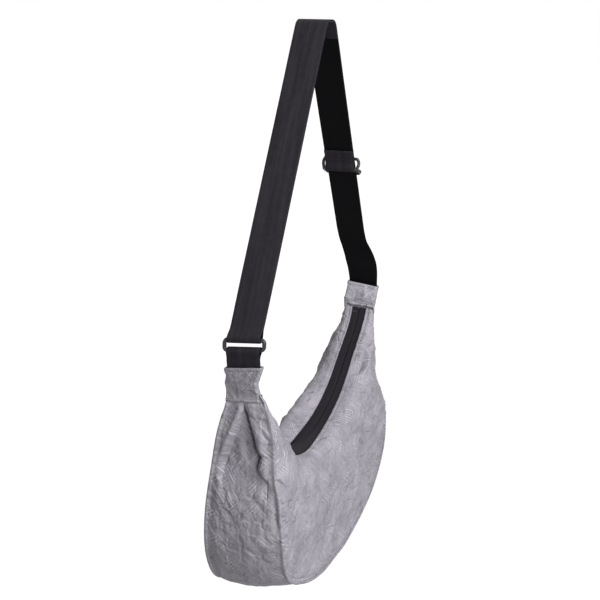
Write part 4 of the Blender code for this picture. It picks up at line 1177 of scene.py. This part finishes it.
# %% Adjuster
UP_RUN = np.array(joints["adjuster_slide"]["axis"])
OUT_OF_RUN = np.array([UP_RUN[2], 0.0, -UP_RUN[0]])
ADJUSTER_PLACE = np.array([0.005, 0.0, -0.011]) + OUT_OF_RUN * 0.0134 - UP_RUN * 0.192
END_BAR_X = 0.0030
CENTRE_BAR_X = -0.00465
SIDE_Y = 0.022
HALF_LENGTH = 0.011
LOBE = 0.0016
SLIDE_BAR = 0.0020


def round_through(points, steps=14):
    """A closed Catmull-Rom curve through points."""
    t = np.arange(steps)[:, None] / steps
    made = []
    for index in range(len(points)):
        p0, p1, p2, p3 = (points[(index + k) % len(points)] for k in (-1, 0, 1, 2))
        bend = (2 * p0 - 5 * p1 + 4 * p2 - p3) * t**2 + (3 * p1 - p0 - 3 * p2 + p3) * t**3
        made.append(0.5 * (2 * p1 + (p2 - p0) * t + bend))
    return np.concatenate(made)


def mirrored(half, axis=1):
    """Half of an outline and its mirror image, with points on the mirror line kept single."""
    half = np.array(half, dtype=float)
    other = half[::-1].copy()
    other[:, axis] *= -1
    return np.concatenate([half, other[np.abs(other[:, axis]) > 0]])


def on_far_run(local):
    """Points in the adjuster's own axes, set on the far run of the strap."""
    return ADJUSTER_PLACE + local @ np.array([OUT_OF_RUN, ACROSS, UP_RUN])


half_side = [
    (END_BAR_X, 0.017, HALF_LENGTH),
    (END_BAR_X, SIDE_Y, HALF_LENGTH * 0.84),
    (0.0, SIDE_Y + LOBE, HALF_LENGTH * 0.46),
    (CENTRE_BAR_X, SIDE_Y, 0.0),
]
slide_points = mirrored(mirrored(half_side, 2), 1)
slide_path = closed_path(on_far_run(round_through(slide_points)), 0.0007)
slide_frame = sweep("slide_frame", slide_path, OUT_OF_RUN, ROUND * SLIDE_BAR, joined=True)
bar_path = on_far_run(np.array([(CENTRE_BAR_X, y, 0.0) for y in np.linspace(-SIDE_Y, SIDE_Y, 12)]))
slide_bar = sweep("slide_bar", bar_path, OUT_OF_RUN, ROUND * SLIDE_BAR * 0.97)
adjuster = join_meshes("strap_slide", [slide_frame, slide_bar])
add_piece("strap_slide", adjuster, acetal, "adjuster", "strap_adjuster")
print("adjuster: %d faces" % len(adjuster.polygons))

# %% [markdown]
# ## Zip
#
# This is a reverse coil zip. Its two tapes lie face up in the opening and look like one smooth
# dark strip with a fine slit, and the coil is sewn beneath them. The tapes are thin strips on an
# arc. The coil's teeth repeat along the same arc, which is work for Geometry Nodes: the arc is
# cut into equal lengths, and one small tooth is set on each point.

# %% A node tree that repeats a small part along lines
REPEAT_INPUTS = {"Lines": "Geometry", "Pitch": "Float", "Wobble": "Float", "Size": "Vector", "Seed": "Int",
                 "Finish": "Material"}
BEAD_SEGMENTS, BEAD_RINGS = 6, 4


def repeat_tree():
    """Geometry Nodes: set a small ellipsoid at even steps along every line."""
    tree = bpy.data.node_groups.new("repeat_along_line", "GeometryNodeTree")
    for name, kind in REPEAT_INPUTS.items():
        tree.interface.new_socket(name, in_out="INPUT", socket_type="NodeSocket" + kind)
    tree.interface.new_socket("Mesh", in_out="OUTPUT", socket_type="NodeSocketGeometry")
    add = partial(add_node, tree)
    given = add("NodeGroupInput").outputs
    curve = add("GeometryNodeMeshToCurve", {"Mesh": given["Lines"]})
    stepped = add("GeometryNodeResampleCurve", {"Curve": curve, "Length": given["Pitch"]}, mode="LENGTH")
    tangent = add("GeometryNodeInputTangent")
    turn = add("FunctionNodeAlignRotationToVector", {"Vector": tangent}, axis="X")
    low, high = (add("Math." + way, (1.0, given["Wobble"])) for way in ("SUBTRACT", "ADD"))
    chance = add("FunctionNodeRandomValue", {"Seed": given["Seed"], 2: low, 3: high}, data_type="FLOAT")
    size = add("VectorMath.SCALE", {0: given["Size"], "Scale": chance.outputs[1]})
    sphere = {"Segments": BEAD_SEGMENTS, "Rings": BEAD_RINGS, "Radius": 0.5}
    part = add("GeometryNodeMeshUVSphere", sphere)
    smooth = add("GeometryNodeSetShadeSmooth", {"Geometry": part})
    placed = {"Points": stepped, "Instance": smooth, "Rotation": turn, "Scale": size}
    real = add("GeometryNodeRealizeInstances", {"Geometry": add("GeometryNodeInstanceOnPoints", placed)})
    done = add("GeometryNodeSetMaterial", {"Geometry": real, "Material": given["Finish"]})
    add("NodeGroupOutput", {"Mesh": done})
    return tree


REPEAT = repeat_tree()


def mesh_of(holder):
    """An object's evaluated shape as a plain mesh; the object goes."""
    graph = bpy.context.evaluated_depsgraph_get()
    graph.update()
    mesh = bpy.data.meshes.new_from_object(holder.evaluated_get(graph), depsgraph=graph)
    mesh.name = holder.name
    bpy.data.objects.remove(holder)
    return mesh


def repeat_along(name, lines, **inputs):
    """A mesh of small parts set along lines; Size is length, width and height in metres."""
    verts, edges = [], []
    for line in lines:
        edges += [(len(verts) + k, len(verts) + k + 1) for k in range(len(line) - 1)]
        verts += [tuple(point) for point in line]
    wire = bpy.data.meshes.new(name + "_lines")
    wire.from_pydata(verts, edges, [])
    holder = link_object(name, wire)
    modifier = holder.modifiers.new("repeat", "NODES")
    modifier.node_group = REPEAT
    for item in REPEAT.interface.items_tree:
        if item.name in inputs:
            modifier[item.identifier] = inputs[item.name]
    return mesh_of(holder)


print("repeating tree: %d nodes" % len(REPEAT.nodes))

# %% Tapes and coil
TAPE_TOP = zip_radius + 0.0019
TAPE_THICK = 0.0010
TAPE_SLIT = 0.25  # mm
COIL_RADIUS = TAPE_TOP + TAPE_THICK + 0.0010
COIL_PITCH = 0.0016
TOOTH = (0.0009, 0.0040, 0.0015)


def zip_arc(radius, inset, count=260, reach=0.0):
    """Points on the zip's arc in the middle plane."""
    end = zip_end_angle - inset / radius
    angle = np.linspace(-end, end + zip_end_angle * reach, count)
    return np.column_stack([radius * np.sin(angle), np.zeros(count), zip_centre_z - radius * np.cos(angle)])


# Half of the zip from its edge to its slit and back, in mm from the zip's middle and in half
# thicknesses over the tape's own middle. The edge at the slit is rolled under.
TAPE_SECTION = (
    (15, 1), (12, 1), (10, 1), (8, 1), (5.5, 1.05), (2.4, 1.1), (TAPE_SLIT + 0.7, 1), (TAPE_SLIT + 0.1, 0.6),
    (TAPE_SLIT, -0.7), (TAPE_SLIT + 0.2, -1), (4, -1), (7, -1), (10, -1), (15, -1),
)


def tape_mesh(name, side):
    """One tape, its section mirrored for the back."""
    section = np.array(TAPE_SECTION) * (side * MM, TAPE_THICK / 2)
    path = zip_arc(TAPE_TOP + TAPE_THICK / 2, 0.0003, reach=ZIP_REACH)
    ahead = unit(np.gradient(path, axis=0))
    up = np.column_stack([-ahead[:, 2], np.zeros(len(path)), ahead[:, 0]])
    points = path[:, None] + up[:, None] * section[None, :, 1:2] + ACROSS * section[None, :, :1]
    along = np.arctan2(path[:, 0], zip_centre_z - path[:, 2]) / zip_end_angle
    droop = smooth_table(DROOP[side], along) * MM
    points[..., 2] -= droop[:, None] * step_up(0.002, 0.0105, np.abs(section[:, 0]))
    points = np.concatenate([points, points[:, :1]], axis=1)
    uv = strip_uv(closed(section)[:, 0], running_length(path))
    return grid_mesh(name, hang_askew(points, 0.0), uv, caps=True)


for label, side in SIDES:
    name = "zip_tape_cloth_" + label
    add_piece(name, tape_mesh(name, side), zip_tape, "root", "zip_tape_" + label)
    name = "zip_coil_teeth_" + label
    teeth_line = (zip_arc(COIL_RADIUS, 0.0075) + ACROSS * side * 0.0020)[2 if side == BACK else 0 :]
    teeth = repeat_along("coil_teeth", [teeth_line], Pitch=COIL_PITCH, Size=TOOTH, Finish=coil_nylon, Seed=5)
    core_line = zip_arc(COIL_RADIUS, 0.0075, 120) + ACROSS * side * 0.0026
    core = sweep("coil_core", core_line, ACROSS, rounded_rectangle(0.0010, 0.0005, 0.0003, 2))
    coil = join_meshes(name, [teeth, core])
    add_piece(name, coil, coil_nylon, "root", "zip_coil_" + label)
print("zip: %d teeth a side" % round(running_length(teeth_line)[-1] / COIL_PITCH))

# %% [markdown]
# ## Slider, pull and stops
#
# These are small die-cast parts with every edge rounded. A flat outline that is filled, given a
# thickness and bevelled makes each plate, since a curve object does all three at once. The pull's
# eye is a second outline inside the first. They are made in the slider's own axes, with the zip
# running along the first one, and then set on the arc.

# %% Zip hardware
SLIDER_ANGLE = 0.020 / TAPE_TOP - zip_end_angle
PULL_RISE = 0.00299
STOP_INSET = 0.0065
# Outlines in mm, in the slider's axes.
PLATE_HALF = ((-5.5, 2.6), (-4.7, 3.6), (-1.0, 4.0), (3.2, 3.8), (5.2, 3.0), (5.5, 0.0))
BAIL_OUTSIDE = ((-3.8, 1.0), (-3.8, 4.0), (-3.4, 5.0), (-2.4, 5.48))
BAIL_INSIDE = ((2.6, 1.0), (2.6, 3.7), (1.9, 4.28))
PULL_HALF = ((-0.7, 1.8), (-0.1, 2.9), (3, 3.1), (9, 2.5), (17, 2.6), (23.5, 3.1), (25, 2.4), (25.3, 0))


def cast_plate(name, outlines, low, high, edge=0.3):
    """A plate between two heights with rounded edges, all in mm; later outlines are holes."""
    data = bpy.data.curves.new(name, "CURVE")
    data.dimensions = "2D"
    data.fill_mode = "BOTH"
    data.extrude = ((high - low) / 2 - edge) * MM
    data.bevel_depth = edge * MM
    data.bevel_resolution = 2
    data.offset = -edge * MM
    for points in outlines:
        spline = data.splines.new("POLY")
        spline.points.add(len(points) - 1)
        for point, (x, y) in zip(spline.points, np.array(points) * MM):
            point.co = (x, y, 0.0, 1.0)
        spline.use_cyclic_u = True
    mesh = mesh_of(link_object(name, data))
    mesh.transform(Matrix.Translation((0, 0, (low + high) / 2 * MM)))
    weld(mesh)
    return mesh


def set_on_zip(mesh, angle, rise=0.0):
    """Turn a mesh from the slider's axes to its place on the arc, some way above the tape."""
    place = Vector((TAPE_TOP * math.sin(angle), 0, zip_centre_z - TAPE_TOP * math.cos(angle)))
    turned = Matrix.Translation(place) @ Matrix.Rotation(-angle, 4, "Y")
    mesh.transform(turned @ Matrix.Translation((0, 0, rise)))


top_outline = round_through(mirrored(PLATE_HALF)[::-1], 4) * 0.985
bail_outline = np.concatenate([mirrored(BAIL_OUTSIDE, 0), mirrored(BAIL_INSIDE, 0)])
cheek_outline = rounded_rectangle(5.5, 0.5, 0.2, 2)
slider_parts = [
    cast_plate("slider_top", [top_outline], 0.3, 1.7, 0.4),
    cast_plate("slider_base", [rounded_rectangle(5.5, 5.3, 1.6)], -4.4, -3.0, 0.4),
    cast_plate("slider_post", [rounded_rectangle(2.0, 0.5, 0.3, 3)], -3.7, 1.0, 0.1),
    cast_plate("slider_bail", [bail_outline], -1.2, 1.2),
    *[cast_plate("slider_cheek", [cheek_outline + (0, y)], -3.7, -1.3, 0.15) for y in (-4.8, 4.8)],
]
slider_parts[3].transform(Matrix.Rotation(math.pi / 2, 4, "X"))  # the bail stands up
slider = join_meshes("zip_slider_cast", slider_parts)
pull_eye = rounded_rectangle(2.3, 1.8, 0.8) + (3.0, 0.0)
pull = cast_plate("zip_pull_cast", [round_through(mirrored(PULL_HALF), 4), pull_eye], -0.7, 0.7, 0.25)
pull.shade_smooth()
for part, name, rise in ((slider, "slider", 0.0), (pull, "pull", PULL_RISE)):
    set_on_zip(part, SLIDER_ANGLE, rise)
    add_piece("zip_" + name + "_cast", part, painted_zinc, name, "zip_" + name)

for label, end, reach in (("near", -1.0, 0.0), ("far", 1.0, ZIP_REACH)):
    name = "zip_stop_cast_" + label
    stop = cast_plate(name, [rounded_rectangle(1.3, 3.5, 0.5, 3)], 0.1, 0.9)
    stop.shade_smooth()
    set_on_zip(stop, end * (zip_end_angle * (1 + reach) - STOP_INSET / TAPE_TOP))
    add_piece(name, stop, painted_zinc, "root", "zip_stop_" + label)
print("slider: %d faces, pull: %d faces" % (len(slider.polygons), len(pull.polygons)))

# %% [markdown]
# ## Bindings inside the bag
#
# The seam allowances stand up inside the bag, wrapped in a narrow matte tape. They show only when
# the bag is open, so each is one plain loft, with rounded folds and a slight wave where the tape
# was eased round the curve.

# %% Seam bindings
BINDING_START = 0.17  # the part of the seam at each end that has none
BINDING_HEIGHT = 0.0078
BINDING_FOOT = 0.0026
BINDING_HALF_THICK = 0.0006
BINDING_INSET = 0.0038


def seam_binding(side):
    """A folded tape round the seam allowance of one panel."""
    along = np.linspace(-1 + BINDING_START, 1 - BINDING_START, 300)
    inner, outer, half_depth = cross_sections(along, side)
    up_panel = unit(inner - outer)
    slope = np.gradient(half_depth) / np.linalg.norm(np.gradient(outer, axis=0), axis=1)
    turn = np.arccos((BINDING_HEIGHT + 0.0024) / np.linalg.norm(outer - inner, axis=1))
    ledge = ZIP_HALF_OPENING + ZIP_LEDGE
    shoulder = ledge + (half_depth - ledge) * np.sin(turn) ** smooth_table(SHOULDER[side], along)
    middle_y = shoulder - 0.0016 * np.hypot(1, slope) - BINDING_INSET - BINDING_HALF_THICK
    section = rounded_rectangle(BINDING_HALF_THICK * 0.98, BINDING_HEIGHT / 2, BINDING_HALF_THICK * 0.9, 3, 4)
    wave = np.array([noise.noise(Vector((a * 40, side, 0))) for a in along]) * 0.0002
    points = np.empty((len(along), len(section) + 1, 3))
    for k, (thick, high) in enumerate(closed(section)):
        place = outer + up_panel * (BINDING_FOOT + high + BINDING_HEIGHT / 2)
        points[:, k] = np.column_stack([place[:, 0], side * (middle_y + thick - abs(wave)), place[:, 1]])
    uv = strip_uv(running_length(closed(section)), running_length(outer))
    return grid_mesh("seam_tape", points, uv, caps=True)


for label, side in SIDES:
    made = seam_binding(side)
    add_piece("seam_tape_" + label, made, binding_tape, "root", "seam_binding_" + label)
print("bindings: %d faces each" % len(made.polygons))

# %% [markdown]
# ## Stitching
#
# Thread is what makes sewn things look sewn. Each row of stitches follows a row or column of the
# finished cloth, so it dips and puckers with it, and the same node tree that set the zip's teeth
# sets the stitches. A stitch here is a small bead of thread with its ends sunk in the cloth.

# %% Rows of stitches
STITCH_PITCH = 0.0030
STITCH_SIZE = (0.0022, 0.00065, 0.00062)
THREAD_LIFT = 0.00012
TAB_OUTSIDE = slice(4, 64)  # a tab's rings between its rolled foot and its slot
TAB_ROWS = ((near_tab, (-0.0058, 0.0280)), (far_tab, (0.0140, 0.0360)))  # heights over a tab's foot


def line_at(points, distances, wanted):
    """The point of every column of a grid that is at one distance."""
    line = []
    for column, distance in zip(points.swapaxes(0, 1), distances.T):
        order = np.argsort(distance)
        line.append([np.interp(wanted, distance[order], values[order]) for values in column.T])
    return np.array(line)


def tab_row(points, height):
    """A ring of stitches round a tab at a height above its foot."""
    centre = points[:, :-1].mean(axis=1, keepdims=True)
    lifted = points + unit(points - centre) * THREAD_LIFT
    rise = points[..., 2] - TAB_FOOT_Z
    return hang_askew(line_at(lifted[TAB_OUTSIDE], rise[TAB_OUTSIDE], height))


def sew(name, lines, thread, body, slot, **inputs):
    """Rows of stitches as one piece on a body."""
    made = repeat_along(name, lines, Wobble=0.08, Finish=thread, **inputs)
    add_piece(name, made, thread, body)
    print("%s: %d stitches" % (name, len(made.polygons) // (BEAD_SEGMENTS * BEAD_RINGS)))


stitch_lines = []
for _, side in SIDES:
    lifted = panels[side] + surface_normals(panels[side], (0, side, 0)) * THREAD_LIFT
    stitch_lines.append(line_at(lifted, panel_base(side)[1], STITCH_FROM_ZIP)[3:-3])
stitch_lines += [tab_row(tab, height) for tab, heights in TAB_ROWS for height in heights]
sizes = {"Pitch": STITCH_PITCH, "Size": STITCH_SIZE}
sew("grey_stitching", stitch_lines, grey_thread, "root", "crinkled_nylon", Seed=2, **sizes)

# %% Box tack on the strap's sewn end
TAIL_FACE = -0.0034 - WEBBING_HALF_THICK - 0.00005
TACK_EDGE = 0.0165
TACK_ENDS = (0.0135, 0.0245)  # over the centre bar
TACK_PITCH = 0.0024
TACK_SIZE = (0.0019, 0.0005, 0.0005)


def on_the_tail(y, z):
    """A line of stitches on the face of the sewn tail."""
    y, z = np.broadcast_arrays(y, z)
    return on_far_run(np.column_stack([np.full(len(y), TAIL_FACE), y, z]))


tack_lines = [on_the_tail(np.linspace(-TACK_EDGE, TACK_EDGE, 40), z) for z in TACK_ENDS]
tack_lines += [on_the_tail(y, np.linspace(*TACK_ENDS, 14)) for y in (-TACK_EDGE, TACK_EDGE)]
sizes = {"Pitch": TACK_PITCH, "Size": TACK_SIZE}
sew("strap_tack", tack_lines, black_thread, "adjuster", "black_webbing", Seed=4, **sizes)

# %% [markdown]
# ## Floor and light
#
# A large soft lamp high on the front side is the key, as in a product studio. A weaker one fills
# in from the ring's end, and the world adds an even pale light. The floor is far below, and it and
# the world show as white to the camera without giving the bag any more light.

# %% Floor, world and lamps
FLOOR_Z = -1.25
FLOOR_HALF = 60.0
WORLD_LIGHT = 0.19
AIM = (0, 0, -0.42)


def in_view(add):
    """1 where the camera, a gloss or a clear surface looks, and 0 for light on the object."""
    rays = add("LightPath").outputs
    seen = add("Math.MAXIMUM", (rays["Is Camera Ray"], rays["Is Glossy Ray"]))
    return add("Math.MAXIMUM", (seen, rays["Is Transmission Ray"]))


def backdrop_paper():
    """White paper that shows white to the camera and keeps the shadow."""
    made, add = new_material("white_backdrop_paper")
    place = add("TexCoord").outputs["Object"]
    away = add("VectorMath.LENGTH", (place,)).outputs["Value"]
    glow = add("MapRange", {"Value": away, "From Min": 1.6, "From Max": 4.0, "To Min": 0.86, "To Max": 0.97})
    strength = add("Math.MULTIPLY", (in_view(add), glow))
    lit = {"Emission Color": (1, 1, 1, 1), "Emission Strength": strength}
    add_surface(add, {"Base Color": linear("#8E8E90"), "Roughness": 0.9, **lit})
    return made


def soft_lamp(name, place, size, watts, colour=(1, 1, 1)):
    """A square area lamp aimed at the bag."""
    data = bpy.data.lights.new(name, "AREA")
    data.shape = "SQUARE"
    data.size = size
    data.energy = watts
    data.color = colour
    lamp = link_object(name, data)
    lamp.location = place
    lamp.rotation_euler = (Vector(AIM) - Vector(place)).to_track_quat("-Z", "Y").to_euler()


paper = bpy.data.meshes.new("floor")
corners = [(x * FLOOR_HALF, y * FLOOR_HALF, FLOOR_Z) for x, y in ((-1, -1), (1, -1), (1, 1), (-1, 1))]
paper.from_pydata(corners, [], [(0, 1, 2, 3)])
paper.materials.append(backdrop_paper())
link_object("floor", paper)
world = bpy.context.scene.world = bpy.data.worlds.new("studio")
world.use_nodes = True
world.node_tree.nodes.clear()
add = partial(add_node, world.node_tree)
level = add("Mix", {0: in_view(add), 2: WORLD_LIGHT, 3: 1.0})
add("OutputWorld", {"Surface": add("Background", {"Color": (1, 1, 1, 1), "Strength": level})})
soft_lamp("key", (-0.60, -1.75, 1.70), 0.9, 48.5, (0.962, 0.947, 1.0))
soft_lamp("fill", (-1.6, -1.85, 0.25), 1.1, 38.0)
print("lamps:", len(bpy.data.lights))
